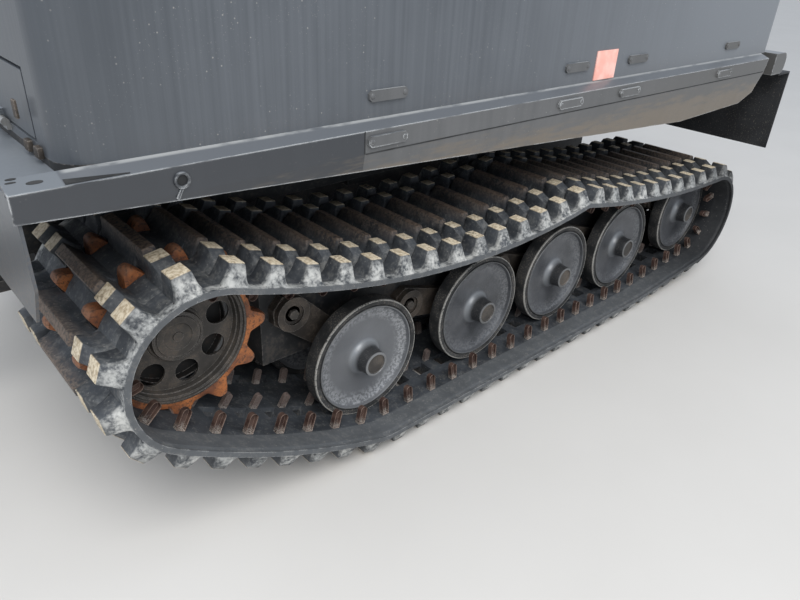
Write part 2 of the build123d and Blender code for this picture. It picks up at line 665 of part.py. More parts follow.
def coupling_link():
    """The steering link that swings about the upright pin, with its bolted flange."""
    low = COUPLING_Z - COUPLING_EYE_HEIGHT / 2
    high = COUPLING_Z + COUPLING_EYE_HEIGHT / 2
    back = COUPLING_FLANGE_X - COUPLING_FLANGE_THICKNESS
    half = COUPLING_ARM_HALF_WIDTH
    eye = post_z(COUPLING_PIN_X, 0, COUPLING_EYE_RADIUS, low, high)
    eye += block(COUPLING_PIN_X, back, -half, half, low, high)
    eye -= post_z(COUPLING_PIN_X, 0, COUPLING_PIN_RADIUS + PIN_CLEARANCE, low, high)
    plane = Plane(origin=(back, 0, COUPLING_Z), x_dir=(0, 1, 0), z_dir=(1, 0, 0))
    flange = extrude(plane * Circle(COUPLING_FLANGE_RADIUS), COUPLING_FLANGE_THICKNESS)
    for place in PolarLocations(COUPLING_BOLT_CIRCLE_RADIUS, COUPLING_BOLTS):
        flange -= extrude(plane * place * Circle(COUPLING_BOLT_HOLE_RADIUS), COUPLING_FLANGE_THICKNESS)
    return eye + flange


def tow_eye():
    """The towing eye at the chassis's rear end."""
    half = TOW_EYE_HEIGHT / 2
    z = (SPINE_LOW_Z + SPINE_HIGH_Z) / 2
    eye = block(TOW_EYE_X, SPINE_REAR_X, -TOW_NECK_HALF_WIDTH, TOW_NECK_HALF_WIDTH, z - half, z + half)
    eye += block(
        SPINE_REAR_X - TOW_PLATE_THICKNESS, SPINE_REAR_X, -TOW_PLATE_HALF, TOW_PLATE_HALF,
        z - TOW_PLATE_HALF, z + TOW_PLATE_HALF)
    eye += post_z(TOW_EYE_X, 0, TOW_EYE_RADIUS, z - half, z + half)
    return eye - post_z(TOW_EYE_X, 0, TOW_EYE_BORE, z - half, z + half)


def body_section(inset):
    """The body's cross-section, moved inwards by an inset, as a solid along the car."""
    waist = BODY_HALF_WIDTH - inset
    eaves = EAVES_HALF_WIDTH - inset
    shoulder = ROOF_SHOULDER_HALF_WIDTH - inset
    shoulder_z = (EAVES_Z + ROOF_Z) / 2 + 15 - inset
    plane = Plane(origin=(BODY_REAR_X + inset, 0, 0), x_dir=(0, 1, 0), z_dir=(1, 0, 0))
    side = Polyline(
        (-shoulder, shoulder_z), (-eaves, EAVES_Z - inset / 2), (-waist, WAIST_Z), (-waist, BODY_FOOT_Z),
        (waist, BODY_FOOT_Z), (waist, WAIST_Z), (eaves, EAVES_Z - inset / 2), (shoulder, shoulder_z),
    )
    roof = ThreePointArc((shoulder, shoulder_z), (0, ROOF_Z - inset), (-shoulder, shoulder_z))
    length = BODY_FRONT_X - BODY_REAR_X - 2 * inset
    return extrude(plane * make_face(side + roof), length)


def body_plan(inset):
    """The body's rounded outline from above, moved inwards by an inset, as a tall solid."""
    length = BODY_FRONT_X - BODY_REAR_X - 2 * inset
    outline = RectangleRounded(length, 2 * (BODY_HALF_WIDTH - inset), CORNER_RADIUS - inset)
    middle = (BODY_FRONT_X + BODY_REAR_X) / 2
    return Pos(middle, 0, BODY_FOOT_Z) * extrude(outline, ROOF_Z - BODY_FOOT_Z)


def side_window_hole(x):
    """The rounded opening of one side window, right across the car."""
    half = SIDE_WINDOW_LENGTH / 2
    reach = BODY_HALF_WIDTH + 10
    return rounded_slab_y(x - half, x + half, -reach, reach, WINDOW_LOW_Z, WINDOW_HIGH_Z, WINDOW_CORNER)


def body_shell():
    """The hollow body before it is split into its panels."""
    shell = (body_section(0) & body_plan(0)) - (body_section(WALL) & body_plan(WALL))
    for x in SIDE_WINDOW_XS:
        shell -= side_window_hole(x)
    shell -= rounded_slab_x(
        BODY_FRONT_X - WALL - 10, BODY_FRONT_X + 10, -FRONT_WINDOW_HALF_WIDTH, FRONT_WINDOW_HALF_WIDTH,
        WINDOW_LOW_Z, WINDOW_HIGH_Z, WINDOW_CORNER)
    reach = HATCH_HALF_WIDTH + DOOR_GAP
    return shell - block(
        BODY_FRONT_X - WALL - 10, BODY_FRONT_X + 10, -reach, reach,
        HATCH_LOW_Z - DOOR_GAP, HATCH_HIGH_Z + DOOR_GAP)


def door_opening():
    """The space that the rear door and its gap take."""
    half = DOOR_HALF_WIDTH + DOOR_GAP
    return block(
        BODY_REAR_X - 10, BODY_REAR_X + WALL + 10, -half, half, DOOR_LOW_Z - DOOR_GAP, DOOR_HIGH_Z + DOOR_GAP)


SHELL = body_shell()
FRONT_SEAM_X = BODY_FRONT_X - END_WALL_SEAM
REAR_SEAM_X = BODY_REAR_X + END_WALL_SEAM
BEYOND = 3000.0


def side_wall():
    """The left side panel between the end walls, below the roof."""
    return SHELL & block(REAR_SEAM_X, FRONT_SEAM_X, 0, BEYOND, 0, EAVES_Z)


def front_wall():
    """The front panel with its rounded corners."""
    return SHELL & block(FRONT_SEAM_X, BEYOND, -BEYOND, BEYOND, 0, EAVES_Z)


def rear_wall():
    """The rear panel with its rounded corners, its apron below and the door opening."""
    panel = SHELL & block(-BEYOND, REAR_SEAM_X, -BEYOND, BEYOND, 0, EAVES_Z)
    panel += block(
        BODY_REAR_X, BODY_REAR_X + WALL, -APRON_HALF_WIDTH, APRON_HALF_WIDTH, TUB_BOTTOM_Z, BODY_FOOT_Z + 1)
    return panel - door_opening()


def roof():
    """The roof moulding above the eaves."""
    return SHELL & block(-BEYOND, BEYOND, -BEYOND, BEYOND, EAVES_Z, BEYOND)


def lower_tub():
    """The open-topped tub between the belts, with the aisle floor."""
    rear = BODY_REAR_X + WALL
    front = BODY_FRONT_X - WALL
    top = BODY_FOOT_Z - UPPER_FLOOR
    tub = block(rear, front, -TUB_HALF_WIDTH, TUB_HALF_WIDTH, TUB_BOTTOM_Z, top)
    skin = TUB_SKIN
    inside = TUB_HALF_WIDTH - skin
    return tub - block(rear - 1, front - skin, -inside, inside, TUB_BOTTOM_Z + skin, top + 1)


def upper_floor():
    """The floor over both tracks, which carries the walls."""
    top = BODY_FOOT_Z
    plate = body_plan(0) & block(-BEYOND, BEYOND, -BEYOND, BEYOND, top, top + UPPER_FLOOR)
    plate = Pos(0, 0, -UPPER_FLOOR) * plate
    inside = TUB_HALF_WIDTH - TUB_SKIN
    plate -= block(BODY_REAR_X + WALL, BODY_FRONT_X - WALL - TUB_SKIN, -inside, inside, 0, BEYOND)
    return plate - block(-BEYOND, BODY_REAR_X + WALL, -APRON_HALF_WIDTH, APRON_HALF_WIDTH, 0, BEYOND)


def side_panes():
    """The two panes of the left side wall, which follow its lean."""
    lean = (BODY_HALF_WIDTH - EAVES_HALF_WIDTH) / (EAVES_Z - WAIST_Z)
    middle = BODY_HALF_WIDTH - WALL / 2
    low_y = middle - lean * (WINDOW_LOW_Z - 20 - WAIST_Z)
    high_y = middle - lean * (WINDOW_HIGH_Z + 20 - WAIST_Z)
    sheet = bar_along_x([
        (low_y - GLASS / 2, WINDOW_LOW_Z - 20), (low_y + GLASS / 2, WINDOW_LOW_Z - 20),
        (high_y + GLASS / 2, WINDOW_HIGH_Z + 20), (high_y - GLASS / 2, WINDOW_HIGH_Z + 20),
    ], REAR_SEAM_X, FRONT_SEAM_X)
    return [sheet & side_window_hole(x) for x in SIDE_WINDOW_XS]


def front_pane():
    """The pane of the front window."""
    middle = BODY_FRONT_X - WALL / 2
    return rounded_slab_x(
        middle - GLASS / 2, middle + GLASS / 2, -FRONT_WINDOW_HALF_WIDTH, FRONT_WINDOW_HALF_WIDTH,
        WINDOW_LOW_Z, WINDOW_HIGH_Z, WINDOW_CORNER)


def door_window(x0, x1):
    """The rounded opening of the door's window."""
    return rounded_slab_x(
        x0, x1, -DOOR_WINDOW_HALF_WIDTH, DOOR_WINDOW_HALF_WIDTH, WINDOW_LOW_Z, DOOR_WINDOW_HIGH_Z,
        WINDOW_CORNER)


def rear_door():
    """The rear door leaf with its window opening and its two hinge eyes."""
    leaf = block(
        BODY_REAR_X, BODY_REAR_X + DOOR_THICKNESS, -DOOR_HALF_WIDTH, DOOR_HALF_WIDTH, DOOR_LOW_Z, DOOR_HIGH_Z)
    leaf -= door_window(BODY_REAR_X - 10, BODY_REAR_X + WALL + 10)
    for z in DOOR_HINGE_ZS:
        low = z - DOOR_KNUCKLE / 2
        high = z + DOOR_KNUCKLE / 2
        leaf += block(
            BODY_REAR_X - HINGE_LEAF_THICKNESS, BODY_REAR_X, -DOOR_HALF_WIDTH, -DOOR_HALF_WIDTH + DOOR_LEAF,
            low, high)
        leaf += post_z(DOOR_HINGE_X, DOOR_HINGE_Y, DOOR_KNUCKLE_RADIUS, low, high)
        leaf -= post_z(DOOR_HINGE_X, DOOR_HINGE_Y, DOOR_PIN_RADIUS + PIN_CLEARANCE, low, high)
    return leaf


def door_hinge(z):
    """The fixed half of one door hinge: its leaf on the wall, two knuckles and the pin."""
    gap = DOOR_KNUCKLE / 2 + KNUCKLE_GAP
    top = gap + DOOR_KNUCKLE
    edge = -DOOR_HALF_WIDTH - DOOR_GAP
    back = BODY_REAR_X - HINGE_LEAF_THICKNESS
    clear = DOOR_HINGE_Y - DOOR_KNUCKLE_RADIUS - DOOR_GAP
    hinge = block(back, BODY_REAR_X, edge - DOOR_LEAF, clear, z - top, z + top)
    for low, high in ((z - top, z - gap), (z + gap, z + top)):
        hinge += block(back, BODY_REAR_X, clear, edge, low, high)
        hinge += post_z(DOOR_HINGE_X, DOOR_HINGE_Y, DOOR_KNUCKLE_RADIUS, low, high)
    return hinge + post_z(DOOR_HINGE_X, DOOR_HINGE_Y, DOOR_PIN_RADIUS, z - top, z + top)


def rear_door_pane():
    """The pane in the rear door."""
    middle = BODY_REAR_X + DOOR_THICKNESS / 2
    return door_window(middle - GLASS / 2, middle + GLASS / 2)


def door_handle():
    """A bow handle on the door's outer face."""
    low_y = HANDLE_Y - HANDLE_WIDTH / 2
    high_y = HANDLE_Y + HANDLE_WIDTH / 2
    back = BODY_REAR_X - HANDLE_REACH
    grip = block(back, back + HANDLE_THICKNESS, low_y, high_y, HANDLE_LOW_Z, HANDLE_HIGH_Z)
    for low in (HANDLE_LOW_Z, HANDLE_HIGH_Z - HANDLE_WIDTH):
        grip += block(back, BODY_REAR_X, low_y, high_y, low, low + HANDLE_WIDTH)
    return grip


def front_hatch():
    """The long low lid in the front wall, with its hinge eyes along the lower edge."""
    lid = block(
        BODY_FRONT_X - HATCH_THICKNESS, BODY_FRONT_X, -HATCH_HALF_WIDTH, HATCH_HALF_WIDTH,
        HATCH_LOW_Z, HATCH_HIGH_Z)
    for y in HATCH_HINGE_YS:
        low = y - HATCH_KNUCKLE / 2
        high = y + HATCH_KNUCKLE / 2
        lid += block(
            BODY_FRONT_X, BODY_FRONT_X + HINGE_LEAF_THICKNESS, low, high, HATCH_HINGE_Z,
            HATCH_LOW_Z + HATCH_LEAF)
        lid += disc(HATCH_HINGE_X, HATCH_HINGE_Z, HATCH_KNUCKLE_RADIUS, low, high)
        lid -= disc(HATCH_HINGE_X, HATCH_HINGE_Z, HATCH_PIN_RADIUS + PIN_CLEARANCE, low, high)
    return lid


def hatch_hinge(y):
    """The fixed half of one lid hinge: two knuckles with their leaves and the pin."""
    gap = HATCH_KNUCKLE / 2 + KNUCKLE_GAP
    end = gap + HATCH_KNUCKLE
    hinge = disc(HATCH_HINGE_X, HATCH_HINGE_Z, HATCH_PIN_RADIUS, y - end, y + end)
    for low, high in ((y - end, y - gap), (y + gap, y + end)):
        hinge += disc(HATCH_HINGE_X, HATCH_HINGE_Z, HATCH_KNUCKLE_RADIUS, low, high)
        hinge += block(
            BODY_FRONT_X, BODY_FRONT_X + HINGE_LEAF_THICKNESS, low, high, HATCH_HINGE_Z - HATCH_LEAF,
            HATCH_HINGE_Z - HATCH_PIN_RADIUS)
    return hinge


def left_sill():
    """The pressed sill over the left track, with its lip, crease and swept lower edge."""
    skin = SILL_SKIN
    foot = SILL_LIP_HALF_WIDTH - SILL_TUCK
    section = bar_along_x([
        (BODY_HALF_WIDTH, BODY_FOOT_Z), (SILL_LIP_HALF_WIDTH, SILL_LIP_Z),
        (SILL_LIP_HALF_WIDTH, SILL_CREASE_Z), (foot, SILL_LOW_Z - 2), (foot - skin, SILL_LOW_Z - 2),
        (SILL_LIP_HALF_WIDTH - skin, SILL_CREASE_Z), (SILL_LIP_HALF_WIDTH - skin, SILL_LIP_Z - skin + 2),
        (BODY_HALF_WIDTH, BODY_FOOT_Z - skin),
    ], SILL_REAR_X, LEDGE_FRONT_X)
    outline = plate_along_y([
        (LEDGE_FRONT_X, BODY_FOOT_Z + 5), (LEDGE_FRONT_X, SILL_FRONT_BOTTOM_Z), (SILL_LOW_X, SILL_LOW_Z),
        (SILL_REAR_LOW_X, SILL_REAR_LOW_Z), (SILL_REAR_CORNER_X, SILL_REAR_CORNER_Z),
        (SILL_REAR_X, SILL_LIP_Z), (SILL_REAR_X, BODY_FOOT_Z + 5),
    ], 0, BEYOND)
    return section & outline


def front_ledge():
    """The folded plate in front of the front wall."""
    half = SILL_LIP_HALF_WIDTH - SILL_SKIN
    inner = SILL_LIP_HALF_WIDTH - LEDGE_TOP_INSET
    top = SILL_LIP_Z
    skin = LEDGE_SKIN
    plate = block(BODY_FRONT_X, LEDGE_FRONT_X, -inner, inner, top - skin, top)
    return plate + block(LEDGE_FRONT_X - skin, LEDGE_FRONT_X, -half, half, top - LEDGE_DROP, top - skin)


def mudguard():
    """The tapering plate in front of the left sprocket."""
    top = SILL_LIP_Z - LEDGE_SKIN
    outer = SILL_LIP_HALF_WIDTH - SILL_SKIN
    x = LEDGE_FRONT_X - LEDGE_SKIN
    return bar_along_x([
        (GUARD_INNER_Y, top), (GUARD_INNER_Y, GUARD_LOW_Z + GUARD_CORNER),
        (GUARD_INNER_Y + GUARD_CORNER, GUARD_LOW_Z), (outer - GUARD_CORNER, GUARD_LOW_Z),
        (outer, GUARD_OUTER_CORNER_Z), (outer, top),
    ], x - LEDGE_SKIN, x)


def rear_bumper():
    """The rounded bumper at the left rear corner."""
    bar = block(
        BUMPER_REAR_X, BODY_REAR_X, BUMPER_INNER_Y, FLAP_OUTER_Y, BUMPER_LOW_Z, BUMPER_HIGH_Z)
    return fillet(bar.edges().filter_by(Axis.Y).sort_by(Axis.X)[:2], BUMPER_ROUNDING)


def mud_flap():
    """The flap that hangs behind the left track from its folded top."""
    front = BUMPER_REAR_X + FLAP_TOP_OVERLAP
    flap = block(FLAP_X - FLAP_SKIN, FLAP_X, FLAP_INNER_Y, FLAP_OUTER_Y, FLAP_LOW_Z, BUMPER_LOW_Z)
    return flap + block(
        FLAP_X, front, BUMPER_INNER_Y, FLAP_OUTER_Y, BUMPER_LOW_Z - FLAP_SKIN, BUMPER_LOW_Z)


def strap_loop(x, z, y):
    """An oblong pressed loop with cut corners."""
    half = LOOP_LENGTH / 2
    rise = LOOP_WIDTH / 2
    cut = LOOP_CORNER
    corners = [
        (x - half + cut, z - rise), (x + half - cut, z - rise), (x + half, z - rise + cut),
        (x + half, z + rise - cut), (x + half - cut, z + rise), (x - half + cut, z + rise),
        (x - half, z + rise - cut), (x - half, z - rise + cut),
    ]
    return plate_along_y(corners, y, y + LOOP_THICKNESS)


def reflector():
    """The reflector plate on the left wall."""
    half = REFLECTOR_LENGTH / 2
    rise = REFLECTOR_HEIGHT / 2
    return block(
        REFLECTOR_X - half, REFLECTOR_X + half, BODY_HALF_WIDTH, BODY_HALF_WIDTH + REFLECTOR_SKIN,
        REFLECTOR_Z - rise, REFLECTOR_Z + rise)


def rear_lamp():
    """The lamp box at the left rear corner."""
    return block(
        BODY_REAR_X - LAMP_DEPTH, BODY_REAR_X, LAMP_INNER_Y, LAMP_OUTER_Y, LAMP_LOW_Z, LAMP_HIGH_Z)


def bench():
    """The left bench: its base, its cushion and its backrest."""
    half = BENCH_HALF_LENGTH
    inside = BODY_HALF_WIDTH - WALL
    outer = inside - CUSHION_WALL_GAP
    seat_z = BODY_FOOT_Z + BENCH_BASE_HEIGHT
    base = block(
        -half, half, BENCH_INNER_Y + BENCH_BASE_INSET, outer - BENCH_BASE_INSET, BODY_FOOT_Z, seat_z)
    cushion = block(-half, half, BENCH_INNER_Y, outer, seat_z, seat_z + CUSHION_HEIGHT)
    back = block(
        -half, half, inside - BACKREST_THICKNESS, inside - RUNNING_GAP, BACKREST_LOW_Z, BACKREST_HIGH_Z)
    return base, cushion, back


def write(name, *shapes):
    """Moves a piece into the car's frame and writes it."""
    piece = shapes[0] if len(shapes) == 1 else parts_of(shapes)
    export_step(Pos(-CENTRE_X, 0, 0) * piece, f"parts/{name}.step")


def write_pair(name, *shapes):
    """Writes a left-hand piece and its right-hand twin as two sub-parts."""
    write(name + "_left", *shapes)
    write(name + "_right", *[other_side(shape) for shape in shapes])


WHEEL_PLACES = [(x, WHEEL_Z) for x in WHEEL_XS] + [(IDLER_X, IDLER_Z)]
write_pair("track_belt", belt())
write_pair("sprocket", sprocket())
write_pair(
    "sprocket_teeth", tooth_ring(TRACK_CENTRE_Y + TOOTH_ROW_OFFSET), tooth_ring(TRACK_CENTRE_Y - TOOTH_ROW_OFFSET))
write_pair("road_wheels", *[half for place in WHEEL_PLACES for half in both_wheels(road_wheel(*place))])
write_pair("support_rollers", *both_wheels(support_roller()))
write_pair("trailing_arms", *[trailing_arm(*pair) for pair in zip(ARM_PIVOTS + (IDLER_PIVOT,), WHEEL_PLACES)])
write_pair("track_beam", track_beam())
write("chassis", chassis())
write("drive_axle", drive_axle())
write("coupling_ears", coupling_ears())
write("coupling_link", coupling_link())
write("tow_eye", tow_eye())
write_pair("side_wall", side_wall())
write("front_wall", front_wall())
write("rear_wall", rear_wall())
write("roof", roof())
write("lower_tub", lower_tub())
write("upper_floor", upper_floor())
PANES = side_panes()
write("side_windows", *PANES, *[other_side(pane) for pane in PANES])
write("front_window", front_pane())
write("rear_door", rear_door())
write("rear_door_window", rear_door_pane())
write("rear_door_handle", door_handle())
write("rear_door_hinges", *[door_hinge(z) for z in DOOR_HINGE_ZS])
write("front_hatch", front_hatch())
write("front_hatch_hinges", *[hatch_hinge(y) for y in HATCH_HINGE_YS])
write_pair("sill", left_sill())
write("front_ledge", front_ledge())
GUARD = mudguard()
write("front_mudguards", GUARD, other_side(GUARD))
BUMPER = rear_bumper()
write("rear_bumpers", BUMPER, other_side(BUMPER))
FLAP = mud_flap()
write("rear_mud_flaps", FLAP, other_side(FLAP))
LOOPS = [strap_loop(x, z, BODY_HALF_WIDTH) for x, z in UPPER_LOOPS]
LOOPS += [strap_loop(x, z, SILL_LIP_HALF_WIDTH) for x, z in LOWER_LOOPS]
write("strap_loops", *LOOPS, *[other_side(loop) for loop in LOOPS])
write("reflectors", reflector(), other_side(reflector()))
LAMP = rear_lamp()
write("rear_lamps", LAMP, other_side(LAMP))
BASE, CUSHION, BACK = bench()
write("bench_bases", BASE, other_side(BASE))
write("bench_cushions", CUSHION, other_side(CUSHION))
write("bench_backrests", BACK, other_side(BACK))
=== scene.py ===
"""Looks of one tracked carrier car: rubber belts with their lugs and guide horns, dished wheels,
sprockets, body fittings, padded benches, paint, rubber and steel. Metres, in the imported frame."""
import json
from math import atan2, cos, hypot, pi, radians, sin, tan

import bmesh
import bpy
from mathutils import Matrix, Vector


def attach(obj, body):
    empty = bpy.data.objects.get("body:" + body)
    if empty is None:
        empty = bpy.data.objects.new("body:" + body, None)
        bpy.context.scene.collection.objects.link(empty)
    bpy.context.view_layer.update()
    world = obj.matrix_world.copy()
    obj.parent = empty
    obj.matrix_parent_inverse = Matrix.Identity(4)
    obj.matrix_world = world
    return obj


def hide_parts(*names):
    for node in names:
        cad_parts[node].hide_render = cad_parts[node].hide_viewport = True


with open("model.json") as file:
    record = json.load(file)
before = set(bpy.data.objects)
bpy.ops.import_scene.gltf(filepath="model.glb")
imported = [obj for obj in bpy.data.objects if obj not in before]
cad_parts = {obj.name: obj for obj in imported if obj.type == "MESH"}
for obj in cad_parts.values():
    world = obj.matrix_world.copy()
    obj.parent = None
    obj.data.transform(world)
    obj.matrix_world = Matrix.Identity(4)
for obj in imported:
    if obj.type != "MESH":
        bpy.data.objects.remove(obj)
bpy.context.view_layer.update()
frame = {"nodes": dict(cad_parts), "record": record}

NODES = frame["nodes"]

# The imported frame's origin lies this far in front of the zero that the car's lengths are counted from.
ORIGIN_X = 0.155


# Sizes of the running gear, as the car's lengths are counted

TRACK_Y = 0.625
BELT_HALF_WIDTH = 0.310
HALF_BELT = 0.0075
LUG_HEIGHT = 0.050
WHEEL_RADIUS = 0.200
WHEEL_XS = (0.700, 0.187, -0.271, -0.734)
WHEEL_Z = 2 * HALF_BELT + LUG_HEIGHT + WHEEL_RADIUS
IDLER_RISE = 0.040
IDLER = (-1.260, WHEEL_Z + IDLER_RISE)
SPROCKET = (1.265, 0.537)
SPROCKET_RADIUS = 0.195
WRAP_RADIUS = SPROCKET_RADIUS + HALF_BELT
ROLLER = (-0.178, 0.553)
ROLLER_RADIUS = 0.060
TEETH = 12
TOOTH_PHASE = radians(5.5)
FRONT_SAG_RADIUS = 2.7
REAR_SAG_RADIUS = 5.2
FRONT_DROOP_RADIUS = 2.4

# Places on the body that its paint and its trim share, as the car's lengths are counted

LEDGE_REAR_X = 1.499
SILL_JOINT_X = 0.853
WALL_Y = 0.900
SILL_Y = 0.940
SLOPE_FOOT_Z = 1.0290
SLOPE_RISE = 0.4
SLOPE_TURN = -0.381
WELD_FROM_Z = 1.0405
LIP_BELOW_Z = 1.0410


# Finishes: a wrapped socket for sums, and one method that adds any node

class Link:
    """A node's output that works in sums like a number: each sum adds its own node."""

    def __init__(self, finish, socket):
        self.finish = finish
        self.socket = socket

    def maths(self, operation, *values):
        return self.finish.add("ShaderNodeMath", {"operation": operation}, dict(enumerate(values)))

    def __add__(self, other):
        return self.maths("ADD", self, other)

    __radd__ = __add__

    def __sub__(self, other):
        return self.maths("SUBTRACT", self, other)

    def __rsub__(self, other):
        return self.maths("SUBTRACT", other, self)

    def __mul__(self, other):
        return self.maths("MULTIPLY", self, other)

    __rmul__ = __mul__

    def __pow__(self, other):
        return self.maths("POWER", self, other)

    def over(self, start, end):
        """A smooth step from 0 at start to 1 at end."""
        inputs = {"Value": self, "From Min": start, "From Max": end}
        return self.finish.add("ShaderNodeMapRange", {"interpolation_type": "SMOOTHSTEP"}, inputs)


class Finish:
    """A material with its own Principled shader. Numbers given here are the same all over it."""

    def __init__(self, name, **same_all_over):
        self.material = bpy.data.materials.new(name)
        self.material.use_nodes = True
        self.tree = self.material.node_tree
        self.shader = self.tree.nodes["Principled BSDF"]
        for socket, value in same_all_over.items():
            self.shader.inputs[socket.replace("_", " ")].default_value = value
        self.place = self.add("ShaderNodeTexCoord", out="Object")
        self.x, self.y, self.z = self.parts(self.place)
        self.up = self.parts(self.add("ShaderNodeNewGeometry", out="Normal"))[2]

    def add(self, kind, settings=None, inputs=None, out=0):
        """Adds a node: its settings first, then the values or links of its sockets."""
        node = self.tree.nodes.new(kind)
        for name, value in (settings or {}).items():
            setattr(node, name, value)
        for name, value in (inputs or {}).items():
            if isinstance(value, Link):
                self.tree.links.new(value.socket, node.inputs[name])
            else:
                node.inputs[name].default_value = value
        return Link(self, node.outputs[out])

    def parts(self, vector):
        """The X, Y and Z of a vector as three links."""
        node = self.tree.nodes.new("ShaderNodeSeparateXYZ")
        self.tree.links.new(vector.socket, node.inputs[0])
        return [Link(self, socket) for socket in node.outputs]

    def stretched(self, x, y, z):
        """The place, scaled along each axis, for patterns that run one way."""
        return self.add("ShaderNodeMapping", inputs={"Vector": self.place, "Scale": (x, y, z)})

    def noise(self, scale, detail=4.0, rough=0.55, place=None):
        """Cloudy noise from 0 to 1."""
        values = {"Vector": place or self.place, "Scale": scale, "Detail": detail, "Roughness": rough}
        return self.add("ShaderNodeTexNoise", inputs=values)

    def specks(self, scale, size):
        """Small round spots, 1 inside and 0 outside."""
        near = self.add("ShaderNodeTexVoronoi", {"feature": "F1"}, {"Vector": self.place, "Scale": scale})
        return near.over(size, size * 0.5)

    def mixed(self, share, first, second):
        """A colour from first at share 0 to second at share 1."""
        inputs = {"Factor": share, 6: self.colour(first), 7: self.colour(second)}
        return self.add("ShaderNodeMix", {"data_type": "RGBA"}, inputs, out=2)

    def colour(self, value):
        """A colour with its alpha, where it is written as three numbers."""
        return value if isinstance(value, Link) else (*value, 1)

    def attribute(self, name):
        """A number stored on the mesh's points."""
        return self.add("ShaderNodeAttribute", {"attribute_name": name}, out="Fac")

    def edge_wear(self, radius, low=0.02, high=0.12):
        """1 at the sharp edges of a piece and 0 on its faces."""
        normals = {
            0: self.add("ShaderNodeBevel", {"samples": 4}, {"Radius": radius}),
            1: self.add("ShaderNodeNewGeometry", out="Normal"),
        }
        facing = self.add("ShaderNodeVectorMath", {"operation": "DOT_PRODUCT"}, normals, out="Value")
        return (1.0 - facing).over(low, high)

    def wear(self, base, rough, bump=None, strength=0.2, depth=0.001):
        """Joins colour, roughness and relief to the shader."""
        links = self.tree.links
        links.new(base.socket, self.shader.inputs["Base Color"])
        if isinstance(rough, Link):
            links.new(rough.socket, self.shader.inputs["Roughness"])
        else:
            self.shader.inputs["Roughness"].default_value = rough
        if bump is not None:
            inputs = {"Height": bump, "Strength": strength, "Distance": depth}
            links.new(self.add("ShaderNodeBump", inputs=inputs).socket, self.shader.inputs["Normal"])
        return self.material


DUST = (0.36, 0.31, 0.25)
PALE_DUST = (0.50, 0.48, 0.44)
BROWN_DUST = (0.20, 0.155, 0.11)


def wall_tone_and_sheen(f, base, clouds):
    """The walls' tone: darker towards the front end, and paler where a face looks up, from pale dust and a
    painted sky reflection.
    """
    base = f.mixed(f.x.over(1.00, 1.34) * 0.40, base, (0.026, 0.032, 0.040))
    # Painted sky reflection, with pale dust: faces that look up are mixed towards a pale blue-grey.
    return f.mixed(f.up.over(0.75, 0.95) * (0.40 + clouds * 0.3), base, (0.25, 0.275, 0.305))


def sill_marks_and_sheen(f, base, grain):
    """The sill's marks and sheen: a dark front panel, brown and rust to the rear, its weld and bare lip, and
    its shelf, paler where faces look up from dust and a painted sky reflection.
    """
    joint = SILL_JOINT_X - ORIGIN_X
    ledge = LEDGE_REAR_X - ORIGIN_X
    smear = f.noise(1.0, 4.0, 0.6, f.stretched(9.0, 9.0, 60.0))
    base = f.mixed(f.x.over(joint - 0.001, joint) * 0.85, base, (0.020, 0.024, 0.031))
    base = f.mixed(f.x.over(0.2, -1.2) * 0.5, base, (0.070, 0.066, 0.058))
    rust = f.x.over(1.12, 1.08) * (0.96 - f.z + (smear - 0.5) * 0.20).over(0.0, 0.07)
    base = f.mixed(rust * (0.45 + grain * 0.5), base, (0.17, 0.135, 0.095))
    # The shelf's blue-grey is pale dust and a painted sky reflection, given to faces that look up.
    shelf = f.mixed(f.x.over(ledge, ledge + 0.004), (0.110, 0.120, 0.134), (0.150, 0.166, 0.184))
    weld = (f.z - WELD_FROM_Z).over(0.0, 0.0025) * f.x.over(ledge, ledge - 0.014) * smear.over(0.30, 0.52)
    shelf = f.mixed(weld * 0.8, shelf, (0.36, 0.37, 0.37))
    base = f.mixed(f.up.over(0.7, 0.9), base, shelf)
    lip = f.edge_wear(0.005) * (LIP_BELOW_Z - f.z).over(0.0, 0.006) * smear.over(0.36, 0.56)
    return f.mixed(lip * 0.95, base, (0.56, 0.58, 0.59))


def dusty_paint(name, dark, light, dirt_top, streak=105.0, sill=False):
    """Satin paint with upright streaks, pale specks, low brown dust, and pale dust with a painted sky
    reflection on faces that look up. Walls are chalkier to the rear.
    """
    f = Finish(name, Metallic=0.0, Coat_Weight=0.35, Coat_Roughness=0.28)
    streaks = f.noise(1.0, 3.0, 0.5, f.stretched(streak, streak, 1.4))
    clouds = f.noise(2.2, 4.0, 0.6)
    grain = f.noise(160.0, 2.0, 0.6)
    share = (streaks * 0.5 + clouds * 0.5).over(0.30, 0.70)
    base = f.mixed(share, dark, light)
    if not sill:
        base = f.mixed(f.x.over(0.6, -1.6) * 0.55, base, (0.24, 0.26, 0.285))
    low = (dirt_top - f.z + (clouds - 0.5) * 0.25).over(0.0, 0.30)
    base = f.mixed(low * (0.75 if sill else 0.55) * grain.over(0.35, 0.65), base, BROWN_DUST)
    patches = f.noise(7.0, 3.0, 0.6)
    base = f.mixed(f.specks(55.0, 0.11) * 0.40 * patches.over(0.46, 0.56), base, PALE_DUST)
    base = f.mixed(f.specks(150.0, 0.14) * 0.25 * patches.over(0.42, 0.58), base, PALE_DUST)
    base = sill_marks_and_sheen(f, base, grain) if sill else wall_tone_and_sheen(f, base, clouds)
    rough = 0.34 + share * 0.10 + low * 0.25
    return f.wear(base, rough, streaks * 0.3 + grain * 0.25 + f.noise(3.0, 1.0) * 6.0, 0.12, 0.002)


